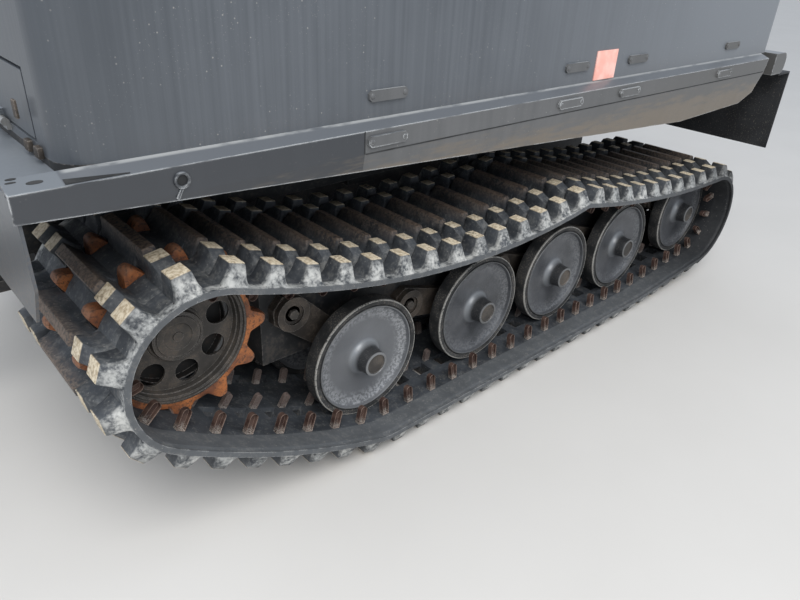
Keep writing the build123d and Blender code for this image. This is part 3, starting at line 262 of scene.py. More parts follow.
def cast_steel(name, dark, light, dirt, rough=0.62, grain_scale=220.0, metal=0.25):
    """Rough grey-brown steel with dust in its hollows."""
    f = Finish(name, Metallic=metal)
    clouds = f.noise(14.0, 5.0, 0.6)
    grain = f.noise(grain_scale, 3.0, 0.6)
    base = f.mixed(clouds.over(0.35, 0.65), dark, light)
    base = f.mixed((clouds * 0.5 + grain * 0.5).over(0.50, 0.62) * 0.6, base, dirt)
    base = f.mixed(f.edge_wear(0.003) * grain.over(0.35, 0.6) * 0.6, base, (0.34, 0.32, 0.30))
    return f.wear(base, rough + clouds * 0.2 - 0.1, grain + clouds * 0.6, 0.35, 0.0015)


def belt_rubber():
    """Blue-black rubber: chalky block tops, brown bar tops, pale dust on the flanks, a rubbed grey edge, and
    painted shade that darkens its rear end.
    """
    f = Finish("belt_rubber", Metallic=0.0)
    clouds = f.noise(9.0, 5.0, 0.62)
    grain = f.noise(120.0, 4.0, 0.6)
    fine = f.noise(420.0, 2.0, 0.6)
    base = f.mixed(clouds.over(0.38, 0.62), (0.023, 0.027, 0.033), (0.048, 0.055, 0.065))
    spread = clouds * 0.5 + grain * 0.5
    smear = f.noise(34.0, 5.0, 0.6)
    edge_band = f.attribute("edge_band")
    base = f.mixed(edge_band * (0.45 + smear * 0.3), base, (0.115, 0.122, 0.128))
    base = f.mixed((smear * 0.5 + grain * 0.5).over(0.50, 0.62) * 0.22, base, (0.22, 0.215, 0.20))
    # Painted shade: towards the rear the rubber goes near black and its dust is dimmed.
    rear = f.x.over(-0.8, -1.6)
    base = f.mixed(rear * 0.9, base, (0.008, 0.009, 0.011))
    dust = (f.attribute("dusty") - 0.5).over(0.0, 0.95) * (smear * 0.6 + grain * 0.4).over(0.36, 0.62)
    dust = dust * (1.0 - rear * 0.6)
    chalk = f.mixed(clouds.over(0.4, 0.6), (0.44, 0.45, 0.44), (0.60, 0.60, 0.57))
    base = f.mixed(dust * 0.80, base, chalk)
    base = f.mixed(f.specks(90.0, 0.16) * grain.over(0.42, 0.55) * 0.35, base, PALE_DUST)
    bar = f.attribute("bar_top") * spread.over(0.36, 0.50)
    brown = f.mixed(grain.over(0.4, 0.6), (0.085, 0.060, 0.045), (0.18, 0.13, 0.095))
    base = f.mixed(bar * 0.85, base, brown)
    block = f.attribute("block_top").over(0.55, 0.9) * spread.over(0.33, 0.44)
    tan_rubber = f.mixed(grain.over(0.4, 0.6), (0.42, 0.34, 0.23), (0.66, 0.58, 0.44))
    base = f.mixed(block * 0.92, base, tan_rubber)
    rim = f.edge_wear(0.003, 0.03, 0.15) * edge_band * f.x.over(-1.2, -0.2) * smear.over(0.44, 0.56)
    base = f.mixed(rim * 0.75, base, (0.40, 0.41, 0.41))
    rough = 0.55 + clouds * 0.2
    return f.wear(base, rough, clouds * 1.2 + grain * 0.8 + fine * 0.3, 0.45, 0.0016)


def horn_steel():
    """Brown worn steel with pale rubbed rims."""
    f = Finish("horn_steel", Metallic=0.35)
    clouds = f.noise(40.0, 4.0)
    grain = f.noise(300.0, 3.0)
    base = f.mixed(clouds.over(0.35, 0.65), (0.050, 0.026, 0.021), (0.115, 0.070, 0.055))
    base = f.mixed(f.attribute("pale") * grain.over(0.25, 0.55), base, (0.21, 0.170, 0.155))
    base = f.mixed(f.edge_wear(0.0022) * grain.over(0.3, 0.5) * 0.8, base, (0.40, 0.30, 0.25))
    base = f.mixed(f.attribute("foot").over(0.5, 1.0) * grain.over(0.4, 0.55) * 0.6, base, PALE_DUST)
    return f.wear(base, 0.55 + clouds * 0.2, grain + clouds, 0.35, 0.001)


def tyre_rubber():
    """Black rubber bonded to the wheels, with grey dust on its wall."""
    f = Finish("tyre_rubber", Metallic=0.0)
    clouds = f.noise(16.0, 5.0)
    grain = f.noise(240.0, 3.0)
    base = f.mixed(clouds.over(0.38, 0.62), (0.016, 0.017, 0.018), (0.040, 0.041, 0.042))
    rubbed = f.attribute("rim").over(0.3, 0.9) * (clouds * 0.4 + grain * 0.6).over(0.36, 0.5)
    base = f.mixed(rubbed * 0.85, base, (0.42, 0.41, 0.38))
    base = f.mixed(grain.over(0.52, 0.66) * clouds.over(0.4, 0.6) * 0.4, base, DUST)
    return f.wear(base, 0.6 + clouds * 0.2, grain + clouds, 0.35, 0.001)


def wheel_paint():
    """Dark satin discs: painted shadow black round the hub, a pale painted highlight at the hub's foot, a
    speckled ring, and a painted sky sheen that makes the first wheel paler.
    """
    f = Finish("wheel_paint", Metallic=0.35, Coat_Weight=0.25, Coat_Roughness=0.3)
    clouds = f.noise(11.0, 5.0, 0.6)
    grain = f.noise(260.0, 3.0, 0.7)
    speckle = f.noise(110.0, 3.0, 0.65)
    base = f.mixed(clouds.over(0.30, 0.70), (0.056, 0.060, 0.067), (0.104, 0.110, 0.121))
    # Painted sky sheen: the first wheel is paler, and its speckled ring shows more.
    first = f.x.over(0.25, 0.40)
    base = f.mixed(first * 0.55, base, (0.22, 0.23, 0.245))
    # Painted shadow: the disc goes near black round the hub.
    base = f.mixed(f.attribute("hub_shadow") * 0.85, base, (0.022, 0.023, 0.025))
    # Painted highlight: a pale ring where the disc meets the hub.
    base = f.mixed(f.attribute("fillet_highlight") * 0.55, base, (0.33, 0.35, 0.37))
    ring = f.attribute("outer_ring") * speckle.over(0.42, 0.58) * (0.25 + first * 0.60)
    base = f.mixed(ring, base, (0.36, 0.37, 0.385))
    base = f.mixed(grain.over(0.54, 0.66) * 0.45, base, (0.21, 0.20, 0.19))
    base = f.mixed(f.attribute("rim").over(0.3, 0.9) * grain.over(0.3, 0.5) * 0.35, base, (0.26, 0.26, 0.25))
    return f.wear(base, 0.36 + clouds * 0.16, speckle * 0.6 + grain * 0.4 + clouds, 0.30, 0.001)


def tooth_rubber():
    """Orange-brown teeth, darkened by wear and dirt."""
    f = Finish("tooth_orange", Metallic=0.0)
    clouds = f.noise(18.0, 5.0, 0.65)
    grain = f.noise(140.0, 4.0, 0.6)
    base = f.mixed(clouds.over(0.36, 0.62), (0.17, 0.062, 0.030), (0.42, 0.145, 0.045))
    reach = ((f.x - (SPROCKET[0] - ORIGIN_X)) ** 2.0 + (f.z - SPROCKET[1]) ** 2.0) ** 0.5
    tip = reach.over(0.222, 0.238) * (clouds * 0.5 + grain * 0.5).over(0.34, 0.5)
    base = f.mixed(tip * 0.6, base, (0.20, 0.115, 0.075))
    base = f.mixed(grain.over(0.50, 0.64) * 0.75, base, (0.060, 0.034, 0.024))
    return f.wear(base, 0.55 + clouds * 0.2, grain + clouds, 0.5, 0.0018)


def sheet_rubber():
    """Black rubber sheet with a fine skin and light dust."""
    f = Finish("flap_rubber", Metallic=0.0)
    clouds = f.noise(5.0, 4.0)
    grain = f.noise(180.0, 3.0)
    base = f.mixed(clouds.over(0.35, 0.65), (0.011, 0.012, 0.014), (0.026, 0.028, 0.031))
    base = f.mixed(grain.over(0.58, 0.70) * 0.25, base, DUST)
    return f.wear(base, 0.55 + clouds * 0.2, grain + clouds * 2.0, 0.25, 0.001)


def clear_glass():
    """Clear glass with a faint green tint and a little dust."""
    f = Finish("glass", Metallic=0.0, IOR=1.45)
    clouds = f.noise(4.0, 4.0)
    dust = clouds.over(0.45, 0.75)
    base = f.mixed(dust, (0.12, 0.16, 0.17), (0.17, 0.20, 0.20))
    alpha = 0.30 + dust * 0.05
    f.tree.links.new(alpha.socket, f.shader.inputs["Alpha"])
    return f.wear(base, 0.03 + dust * 0.15)


def moulded(name, dark, light, scratch):
    """Faded glossy plastic of lamps and reflectors; a reflector's pale colour is partly a painted highlight.
    """
    f = Finish(name, Metallic=0.0, Coat_Weight=0.2)
    clouds = f.noise(22.0, 4.0)
    grain = f.noise(260.0, 3.0)
    base = f.mixed(clouds.over(0.35, 0.65), dark, light)
    base = f.mixed(grain.over(0.58, 0.70) * scratch, base, PALE_DUST)
    return f.wear(base, 0.35 + clouds * 0.25, grain, 0.15, 0.0006)


def bare_steel():
    """Bare steel with brushed scratches and spots of brown."""
    f = Finish("steel", Metallic=0.85)
    brushed = f.noise(1.0, 3.0, 0.6, f.stretched(400.0, 400.0, 30.0))
    clouds = f.noise(30.0, 4.0)
    base = f.mixed(brushed, (0.30, 0.30, 0.29), (0.52, 0.51, 0.49))
    base = f.mixed(clouds.over(0.56, 0.72) * 0.7, base, (0.18, 0.11, 0.07))
    return f.wear(base, 0.30 + clouds * 0.3, brushed, 0.15, 0.0005)


def bench_vinyl():
    """Dark green coated cloth with a fine woven grain and rubbed seams."""
    f = Finish("seat_cloth", Metallic=0.0, Sheen_Weight=0.15)
    weave = f.add("ShaderNodeTexVoronoi", {"feature": "F1"}, {"Vector": f.place, "Scale": 700.0})
    clouds = f.noise(7.0, 4.0)
    base = f.mixed(clouds.over(0.35, 0.65), (0.050, 0.058, 0.042), (0.088, 0.098, 0.072))
    base = f.mixed(f.edge_wear(0.006, 0.03, 0.2) * 0.4, base, (0.16, 0.165, 0.13))
    return f.wear(base, 0.48 + clouds * 0.2, weave * 0.6 + clouds, 0.35, 0.0008)


def window_rubber():
    """Matt black sealing rubber."""
    f = Finish("seal_rubber", Metallic=0.0)
    clouds = f.noise(20.0, 4.0)
    base = f.mixed(clouds.over(0.35, 0.65), (0.012, 0.013, 0.014), (0.035, 0.036, 0.037))
    return f.wear(base, 0.6 + clouds * 0.2, clouds, 0.2, 0.0008)


SLATE = ((0.066, 0.075, 0.087), (0.096, 0.107, 0.122))
BROWN_DIRT = (0.14, 0.11, 0.085)
FINISHES = {
    "body_paint": dusty_paint("body_paint", *SLATE, 1.12),
    "front_paint": dusty_paint("front_paint", *SLATE, 1.05),
    "sill_paint": dusty_paint("sill_paint", (0.076, 0.079, 0.082), (0.110, 0.112, 0.115), 0.98, 30.0, True),
    "belt_rubber": belt_rubber(),
    "wheel_paint": wheel_paint(),
    "sprocket_steel": cast_steel("sprocket_steel", (0.045, 0.041, 0.037), (0.090, 0.080, 0.070), BROWN_DIRT),
    "tooth_orange": tooth_rubber(),
    "arm_steel": cast_steel("arm_steel", (0.034, 0.029, 0.025), (0.080, 0.066, 0.054), BROWN_DIRT),
    "chassis_paint": cast_steel(
        "chassis_paint", (0.010, 0.011, 0.012), (0.026, 0.026, 0.027), (0.07, 0.06, 0.05), 0.6, 90.0, 0.0),
    "glass": clear_glass(),
    # Painted highlight: the reflector's red is lifted to a pale salmon for the light it catches.
    "reflector_red": moulded("reflector_red", (0.93, 0.44, 0.36), (0.98, 0.58, 0.50), 0.1),
    "lamp_red": moulded("lamp_red", (0.30, 0.015, 0.012), (0.45, 0.03, 0.022), 0.12),
    "flap_rubber": sheet_rubber(),
    "steel": bare_steel(),
    "seat_cloth": bench_vinyl(),
}
HORN_STEEL = horn_steel()
TYRE_RUBBER = tyre_rubber()
SEAL_RUBBER = window_rubber()
# Near-black finish of painted shade, for the pan behind the sprocket's holes.
HOLE_SHADE = cast_steel(
    "hole_shade", (0.003, 0.003, 0.003), (0.008, 0.007, 0.006), (0.03, 0.014, 0.008), 0.8, 120.0, 0.0)

for part in frame["record"]["subparts"]:
    node = NODES[part["node"]]
    node.data.materials.clear()
    node.data.materials.append(FINISHES[part["material_slot"]])


# Mesh helpers

def finished(bm, name, materials, body="car", smooth=35.0):
    """Turns a bmesh into a named piece that rides on a body."""
    mesh = bpy.data.meshes.new(name)
    bm.to_mesh(mesh)
    bm.free()
    for material in materials:
        mesh.materials.append(material)
    mesh.shade_smooth()
    mesh.set_sharp_from_angle(angle=radians(smooth))
    piece = bpy.data.objects.new(name, mesh)
    bpy.context.scene.collection.objects.link(piece)
    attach(piece, body)
    return piece


def added(bm, cell):
    """Adds a mesh to a bmesh and gives back its vertices there."""
    count = len(bm.verts)
    bm.from_mesh(cell)
    bm.verts.ensure_lookup_table()
    return bm.verts[count:]


def copies(cell, places):
    """A bmesh with one copy of a mesh at each place."""
    bm = bmesh.new()
    for place in places:
        new = added(bm, cell)
        bmesh.ops.transform(bm, matrix=place, verts=new)
        if place.determinant() < 0:
            faces = {face for vert in new for face in vert.link_faces}
            bmesh.ops.reverse_faces(bm, faces=list(faces))
    return bm


def as_mesh(bm, name):
    """A loose mesh to copy from."""
    mesh = bpy.data.meshes.new(name)
    bmesh.ops.recalc_face_normals(bm, faces=bm.faces)
    bm.to_mesh(mesh)
    bm.free()
    return mesh


def other_side(bm):
    """The same shape on the car's right side."""
    bmesh.ops.scale(bm, vec=(1, -1, 1), verts=bm.verts)
    bmesh.ops.reverse_faces(bm, faces=bm.faces)
    return bm


def both_hands(cell, name, materials, places, smooth=35.0, stood_for=None):
    """Makes a piece on the left and its twin on the right. Each may stand for the CAD node of its side."""
    for side in ("left", "right"):
        bm = copies(cell, places)
        if side == "right":
            other_side(bm)
        piece = finished(bm, f"{name}_{side}", materials, smooth=smooth)
        if stood_for:
            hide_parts(f"{stood_for}_{side}")


def lines_across(bm, axis, values):
    """Cuts a mesh along planes at the given values of one axis."""
    for value in values:
        point = [0.0, 0.0, 0.0]
        point[axis] = value
        normal = [0.0, 0.0, 0.0]
        normal[axis] = 1.0
        bmesh.ops.bisect_plane(
            bm, geom=bm.verts[:] + bm.edges[:] + bm.faces[:], dist=1e-6, plane_co=point, plane_no=normal)


def spun(profile, steps):
    """A body of revolution about the Y axis from (radius, y) corners, in metres."""
    bm = bmesh.new()
    verts = [bm.verts.new((radius, y, 0.0)) for radius, y in profile]
    for first, second in zip(verts, verts[1:]):
        bm.edges.new((first, second))
    bmesh.ops.spin(
        bm, geom=bm.verts[:] + bm.edges[:], cent=(0, 0, 0), axis=(0, 1, 0), dvec=(0, 0, 0),
        angle=2 * pi, steps=steps, use_merge=True, use_duplicate=False)
    bmesh.ops.remove_doubles(bm, verts=bm.verts, dist=1e-6)
    bmesh.ops.dissolve_degenerate(bm, edges=bm.edges, dist=1e-7)
    return bm


def rounded_block(x, y, z, rounding=0.0, segments=2):
    """A block of the given lengths with all its edges rounded."""
    bm = bmesh.new()
    bmesh.ops.create_cube(bm, size=1.0)
    bmesh.ops.scale(bm, vec=(x, y, z), verts=bm.verts)
    if rounding:
        bmesh.ops.bevel(
            bm, geom=bm.edges[:], offset=rounding, segments=segments, profile=0.5, affect="EDGES",
            material=-1)
    return bm


AS_IS = Matrix.Identity(4)
MIRRORED = Matrix.Diagonal((1, -1, 1, 1))


def at(x, y, z):
    """A place given as the car's lengths are counted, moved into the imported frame."""
    return Matrix.Translation((x - ORIGIN_X, y, z))


# The belt's path: arcs as (centre, signed radius, first and last angle of the outward normal).

def meeting(first, first_reach, second, second_reach):
    """The upper point at the given distances from two centres."""
    dx = second[0] - first[0]
    dz = second[1] - first[1]
    apart = hypot(dx, dz)
    along = (first_reach ** 2 - second_reach ** 2 + apart ** 2) / (2 * apart)
    up = (first_reach ** 2 - along ** 2) ** 0.5
    return (first[0] + (along * dx - up * dz) / apart, first[1] + (along * dz + up * dx) / apart)


def heading(start, end):
    """The direction from one point to another."""
    return atan2(end[1] - start[1], end[0] - start[0])


def belt_arcs():
    """The loop: front sag, roller, rear sag, idler, last wheel, first wheel, droop, sprocket."""
    wheel = WHEEL_RADIUS + HALF_BELT
    bump = ROLLER_RADIUS + HALF_BELT
    first = (WHEEL_XS[0], WHEEL_Z)
    last = (WHEEL_XS[-1], WHEEL_Z)
    front = meeting(ROLLER, FRONT_SAG_RADIUS + bump, SPROCKET, FRONT_SAG_RADIUS + WRAP_RADIUS)
    rear = meeting(IDLER, REAR_SAG_RADIUS + wheel, ROLLER, REAR_SAG_RADIUS + bump)
    droop = meeting(first, FRONT_DROOP_RADIUS - wheel, SPROCKET, FRONT_DROOP_RADIUS - WRAP_RADIUS)
    leave_sprocket = heading(SPROCKET, front)
    reach_roller = heading(ROLLER, front)
    leave_roller = heading(ROLLER, rear)
    reach_idler = heading(IDLER, rear)
    leave_idler = 2 * pi + heading(IDLER, last) - pi / 2
    leave_wheel = heading(droop, first) + 2 * pi
    reach_sprocket = heading(droop, SPROCKET) + 2 * pi
    return [
        (front, -FRONT_SAG_RADIUS, leave_sprocket, reach_roller),
        (ROLLER, bump, reach_roller, leave_roller),
        (rear, -REAR_SAG_RADIUS, leave_roller, reach_idler),
        (IDLER, wheel, reach_idler, leave_idler),
        (last, wheel, leave_idler, 1.5 * pi),
        (first, wheel, 1.5 * pi, leave_wheel),
        (droop, FRONT_DROOP_RADIUS, leave_wheel, reach_sprocket),
        (SPROCKET, WRAP_RADIUS, reach_sprocket, leave_sprocket + 2 * pi),
    ]


def on_arc(arc, angle):
    """A point of an arc."""
    return (arc[0][0] + arc[1] * cos(angle), arc[0][1] + arc[1] * sin(angle))


ARCS = belt_arcs()
NEXT_ARCS = ARCS[1:] + ARCS[:1]
ARC_LENGTHS = [abs(arc[1] * (arc[3] - arc[2])) for arc in ARCS]
RUN_LENGTHS = [
    hypot(*(b - a for a, b in zip(on_arc(arc, arc[3]), on_arc(after, after[2]))))
    for arc, after in zip(ARCS, NEXT_ARCS)
]
LOOP = sum(ARC_LENGTHS) + sum(RUN_LENGTHS)
LUGS = round(LOOP / (2 * pi * WRAP_RADIUS / TEETH))
PITCH = LOOP / LUGS
WRAP_START = LOOP - ARC_LENGTHS[-1] - RUN_LENGTHS[-1]
TOOTH_START = WRAP_START + WRAP_RADIUS * (2 * pi + TOOTH_PHASE - ARCS[-1][2])


def on_path(distance):
    """The path's point and its outward normal's angle at a distance along the loop."""
    distance = distance % LOOP
    for arc, arc_length, run_length in zip(ARCS, ARC_LENGTHS, RUN_LENGTHS):
        if distance <= arc_length:
            angle = arc[2] + distance / arc[1]
            return on_arc(arc, angle), angle
        distance -= arc_length
        if distance <= run_length:
            x, z = on_arc(arc, arc[3])
            return (x - distance * sin(arc[3]), z + distance * cos(arc[3])), arc[3]
        distance -= run_length
    return on_arc(ARCS[0], ARCS[0][2]), ARCS[0][2]


def belt_place(distance, height):
    """The place at a height over the left belt's middle line, with Z outwards and X along the path."""
    (x, z), angle = on_path(distance)
    out = Vector((cos(angle), 0, sin(angle)))
    along = Vector((-sin(angle), 0, cos(angle)))
    place = Matrix((along, out.cross(along), out)).transposed().to_4x4()
    place.translation = Vector((x - ORIGIN_X, TRACK_Y, z)) + out * height
    return place


# One pitch of belt, lug in its middle. Rows go across it, in millimetres from the middle: place, lug
# height, then half-lengths of crown, shoulder, flank and foot, and how brown, chalky and dusty it is.
ROWS = (
    (0, 50, 10, 12.5, 19, 30, 1, 0, 0),
    (77.5, 50, 10, 12.5, 19, 30, 1, 0, 0),
    (78.5, 50, 10, 12.5, 18, 22.5, 1, 0, 0),
    (120, 50, 10, 12.5, 18, 22.5, 1, 0, 0),
    (125, 44, 9, 11.5, 18, 22.5, 0.7, 0, 0),
    (131.5, 30, 8, 10.5, 17, 22.5, 0, 0, 0),
    (132.5, 28, 8, 10.5, 18, 29, 0, 0, 0.1),
    (137, 26, 8, 10.5, 18, 29, 0, 0, 0.1),
    (138, 10, 9, 12, 18, 29, 0, 0, 0),
    (142, 10, 13, 16, 20, 30, 0, 0, 0),
    (143, 47, 15.5, 17.5, 21, 31, 0, 0.5, 0),
    (144.5, 49.5, 16, 18, 22, 31, 0, 1, 0),
    (185, 49.5, 16, 18, 22, 32, 0, 1, 0),
    (188, 47, 15.5, 18, 22, 32, 0, 0.5, 0),
    (222, 28, 14, 18, 24, 32, 0, 0, 0.8),
    (227, 25, 14, 18, 24, 32, 0, 0, 0.8),
    (228, 12, 14, 18, 24, 32, 0, 0, 0.5),
    (233, 12, 15, 18, 24, 32, 0, 0, 0.5),
    (234, 47, 16, 18, 24, 33, 0, 0.5, 0.6),
    (236, 49.5, 16.5, 18.5, 24, 33, 0, 1, 0.6),
    (282, 49.5, 16.5, 18.5, 24, 33, 0, 1, 0.7),
    (285, 47, 16.5, 18.5, 24, 33, 0, 0.5, 1.0),
    (291, 37, 16, 19, 24.5, 33, 0, 0, 1.15),
    (298, 21, 16, 20, 25, 33.5, 0, 0, 1.25),
    (303.5, 8, 15, 20, 25.5, 34, 0, 0, 1.5),
    (308.5, 1.0, 16, 21, 26, 34.5, 0, 0, 1.2),
    (310, 0, 18, 22, 27, 35, 0, 0, 0.2),
)
WINDOW_HALF = 0.029
WINDOW_ROWS = (0.078, 0.132)
GROOVE_ROWS = (0.296, 0.300)
GROOVE_DEPTH = 0.003
# Lines across the flat pitch that move to the crown, shoulder, flank and foot of the lug.
LUG_LINES = (0.008, 0.012, 0.018, 0.022)
# Distances from the belt's middle: where the inner face's grey band and the dusty valley between the lugs'
# outer ends start, where the lugs end, and past which the last line across keeps just beyond the foot.
INNER_BAND_Y = 0.225
VALLEY_Y = 0.2955
LUG_END_Y = 0.3087
WIDE_FOOT_Y = 0.288
PAST_FOOT = 0.003


def row_at(y):
    """The table's row at a distance from the belt's middle, between its rows by proportion."""
    place = min(abs(y) * 1000.0, ROWS[-1][0])
    for low, high in zip(ROWS, ROWS[1:]):
        if place <= high[0]:
            share = (place - low[0]) / (high[0] - low[0])
            return [a + (b - a) * share for a, b in zip(low, high)]
    return list(ROWS[-1])


def belt_pitch():
    """One pitch of the belt, flat: length along X, width along Y, outwards along Z."""
    bm = bmesh.new()
    bmesh.ops.create_grid(bm, x_segments=1, y_segments=1, size=0.5)
    bmesh.ops.scale(bm, vec=(PITCH, 2 * BELT_HALF_WIDTH, 1), verts=bm.verts)
    edge = PITCH / 2 - WINDOW_HALF
    steps = [*LUG_LINES, edge]
    lines_across(bm, 0, [side * step for step in steps for side in (-1, 1)])
    stations = [row[0] / 1000.0 for row in ROWS[1:-1]] + list(WINDOW_ROWS) + list(GROOVE_ROWS)
    lines_across(bm, 1, [side * place for place in stations for side in (-1, 1)])
    holes = [
        face for face in bm.faces
        if abs(face.calc_center_median().x) > edge
        and WINDOW_ROWS[0] < abs(face.calc_center_median().y) < WINDOW_ROWS[1]
    ]
    bmesh.ops.delete(bm, geom=holes, context="FACES")
    lower = bm.faces[:]
    bmesh.ops.translate(bm, vec=(0, 0, -HALF_BELT), verts=bm.verts)
    grown = bmesh.ops.extrude_face_region(bm, geom=lower, use_keep_orig=True)
    upper = [item for item in grown["geom"] if isinstance(item, bmesh.types.BMVert)]
    bmesh.ops.translate(bm, vec=(0, 0, 2 * HALF_BELT), verts=upper)
    ends = [
        face for face in bm.faces
        if all(abs(abs(vert.co.x) - PITCH / 2) < 1e-5 for vert in face.verts)
    ]
    bmesh.ops.delete(bm, geom=ends, context="FACES")
    marks = ("bar_top", "block_top", "dusty", "edge_band")
    layers = {name: bm.verts.layers.float.new(name) for name in marks}
    for vert in bm.verts:
        x, y, z = vert.co
        row = row_at(y)
        if z < 0:
            if GROOVE_ROWS[0] - 1e-5 < abs(y) < GROOVE_ROWS[1] + 1e-5:
                vert.co.z += GROOVE_DEPTH
            vert[layers["dusty"]] = 0.55 if abs(y) < INNER_BAND_Y else 0.6
            vert[layers["edge_band"]] = 1.0 if abs(y) > INNER_BAND_Y else 0.0
            continue
        valley = 1.5 if VALLEY_Y < abs(y) < LUG_END_Y else 0.0
        vert[layers["dusty"]] = max(row[8], valley, 0.62 if abs(y) < LUG_END_Y else 0.2)
        vert[layers["edge_band"]] = 1.0 if abs(y) > LUG_END_Y else 0.0
        level = [index for index, step in enumerate(steps) if abs(abs(x) - step) < 1e-5]
        if not level:
            continue
        crown, shoulder, flank, foot = [value / 1000.0 for value in row[2:6]]
        height = row[1] / 1000.0
        if level[0] < len(LUG_LINES):
            place, rise = (
                (crown, height),
                (shoulder, max(height - 0.0025, height * 0.5)),
                (flank, height * 0.40),
                (foot, 0.0),
            )[level[0]]
            vert.co.x = place if x > 0 else -place
            vert.co.z += rise
            if level[0] < 2:
                vert[layers["bar_top"]] = row[6] * (1.0 if level[0] == 0 else 0.7)
                vert[layers["block_top"]] = row[7] * (1.0 if level[0] == 0 else 0.6)
        elif abs(y) > WIDE_FOOT_Y:
            vert.co.x = (foot + PAST_FOOT) * (1 if x > 0 else -1)
    return as_mesh(bm, "belt_pitch")


def wrapped_belt():
    """The whole belt: every pitch laid along the path."""
    cell = belt_pitch()
    bm = bmesh.new()
    for index in range(LUGS):
        middle = TOOTH_START + (index + 0.5) * PITCH
        for vert in added(bm, cell):
            along, y, out = vert.co
            (x, z), angle = on_path(middle + along)
            vert.co = (x + out * cos(angle) - ORIGIN_X, TRACK_Y + y, z + out * sin(angle))
    bmesh.ops.remove_doubles(bm, verts=bm.verts, dist=2e-5)
    bmesh.ops.recalc_face_normals(bm, faces=bm.faces)
    return bm


BELT = as_mesh(wrapped_belt(), "belt_loop")
both_hands(BELT, "belt", [FINISHES["belt_rubber"]], [AS_IS], 40.0, "track_belt")


# Guide horns inside the belt: hooked channels outside the wheels, plain posts inside them.

HOOK_Y = 0.214
HOOK_LEAN = -0.10
HOOK = {"width": 0.024, "thick": 0.018, "height": 0.057, "hollow": True}
POST_Y = 0.075
POST_LEAN = 0.16
POST = {"width": 0.021, "thick": 0.014, "height": 0.050, "hollow": False}


def horn(width, thick, height, hollow):
    """A horn that stands on the belt's inner face, along minus Z, with a rounded top."""
    bm = bmesh.new()
    bmesh.ops.create_cube(bm, size=1.0)
    bmesh.ops.scale(bm, vec=(width, thick, height), verts=bm.verts)
    bmesh.ops.translate(bm, vec=(0, 0, -height / 2), verts=bm.verts)
    crown = [edge for edge in bm.edges if all(vert.co.z < -height * 0.9 for vert in edge.verts)]
    crown = [edge for edge in crown if abs(edge.verts[0].co.x - edge.verts[1].co.x) < 1e-6]
    bmesh.ops.bevel(
        bm, geom=crown, offset=width * 0.48, segments=4, profile=0.5, affect="EDGES", material=-1)
    foot = bm.verts.layers.float.new("foot")
    pale = bm.verts.layers.float.new("pale")
    if hollow:
        face = max(bm.faces, key=lambda item: item.normal.y * item.calc_area())
        bmesh.ops.inset_region(bm, faces=[face], thickness=width * 0.13, depth=0.0)
        bmesh.ops.translate(bm, vec=(0, -thick * 0.62, 0), verts=face.verts)
    else:
        for vert in bm.verts:
            vert[pale] = 0.85
    for vert in bm.verts:
        vert[foot] = 1.0 if vert.co.z > -height * 0.12 else 0.0
    return as_mesh(bm, "horn")


def guide_horns():
    """Both rows of horns on both edges of the belt, one set at each lug."""
    hook = horn(**HOOK)
    post = horn(**POST)
    bm = bmesh.new()
    for index in range(LUGS):
        middle = TOOTH_START + (index + 0.5) * PITCH
        (x, z), _ = on_path(middle)
        over_roller = z > ROLLER[1] and abs(x - ROLLER[0]) < ROLLER_RADIUS
        for cell, y, lean in ((hook, HOOK_Y, HOOK_LEAN), (post, POST_Y, POST_LEAN)):
            if over_roller and cell is post:
                continue
            for side in (AS_IS, MIRRORED):
                local = Matrix.Translation((0, y, 0)) @ Matrix.Rotation(lean, 4, "X")
                place = belt_place(middle, -HALF_BELT) @ side @ local
                bmesh.ops.transform(bm, matrix=place, verts=added(bm, cell))
    bmesh.ops.recalc_face_normals(bm, faces=bm.faces)
    return as_mesh(bm, "guide_horns")


both_hands(guide_horns(), "guide_horns", [HORN_STEEL], [AS_IS], 50.0)


# Road wheels and idlers

WHEEL_FACE = 0.790
WHEEL_PROFILE = (
    (0.000, -0.055), (0.150, -0.055), (0.160, -0.050), (0.174, -0.050), (0.178, -0.055), (0.1945, -0.055),
    (0.1990, -0.051), (0.1997, -0.046), (0.1997, -0.0075), (0.1992, -0.0030), (0.1978, -0.0005),
    (0.1962, 0.0), (0.1945, -0.0008), (0.1850, -0.0012), (0.1832, -0.0020), (0.1820, -0.0068),
    (0.1798, -0.0068), (0.1790, -0.0020), (0.1775, 0.0), (0.1755, 0.0), (0.1735, -0.0015), (0.1720, -0.0060),
    (0.1700, -0.0120), (0.1650, -0.0155), (0.1500, -0.0195), (0.1250, -0.0235), (0.1000, -0.0250),
    (0.0780, -0.0240), (0.0640, -0.0210), (0.0560, -0.0160), (0.0500, -0.0080), (0.0450, 0.0050),
    (0.0428, 0.0200), (0.0420, 0.0370), (0.0407, 0.0405), (0.0385, 0.0415), (0.0340, 0.0415),
    (0.0328, 0.0403), (0.0318, 0.0370), (0.0290, 0.0365), (0.0150, 0.0375), (0.000, 0.0380),
)
TYRE_INNER = 0.1790
HUB_FACE_RADIUS = 0.0325
HUB_FACE_Y = 0.030
# Rings of the wheel that its finishes colour apart: a name, the radii from and to, the lowest and highest Y.
WHEEL_MARKS = (
    ("outer_ring", 0.149, 0.171, -1.0, 1.0),
    # The ring round the hub marks painted shadow, and the ring at the hub's foot a painted highlight.
    ("hub_shadow", 0.0, 0.047, -1.0, 0.039),
    ("fillet_highlight", 0.049, 0.058, -1.0, 1.0),
    ("rim", 0.1955, 0.1995, -0.004, 1.0),
    ("rim", 0.1750, 0.1780, -0.001, 1.0),
    ("rim", 0.0335, 0.0410, 0.040, 1.0),
)


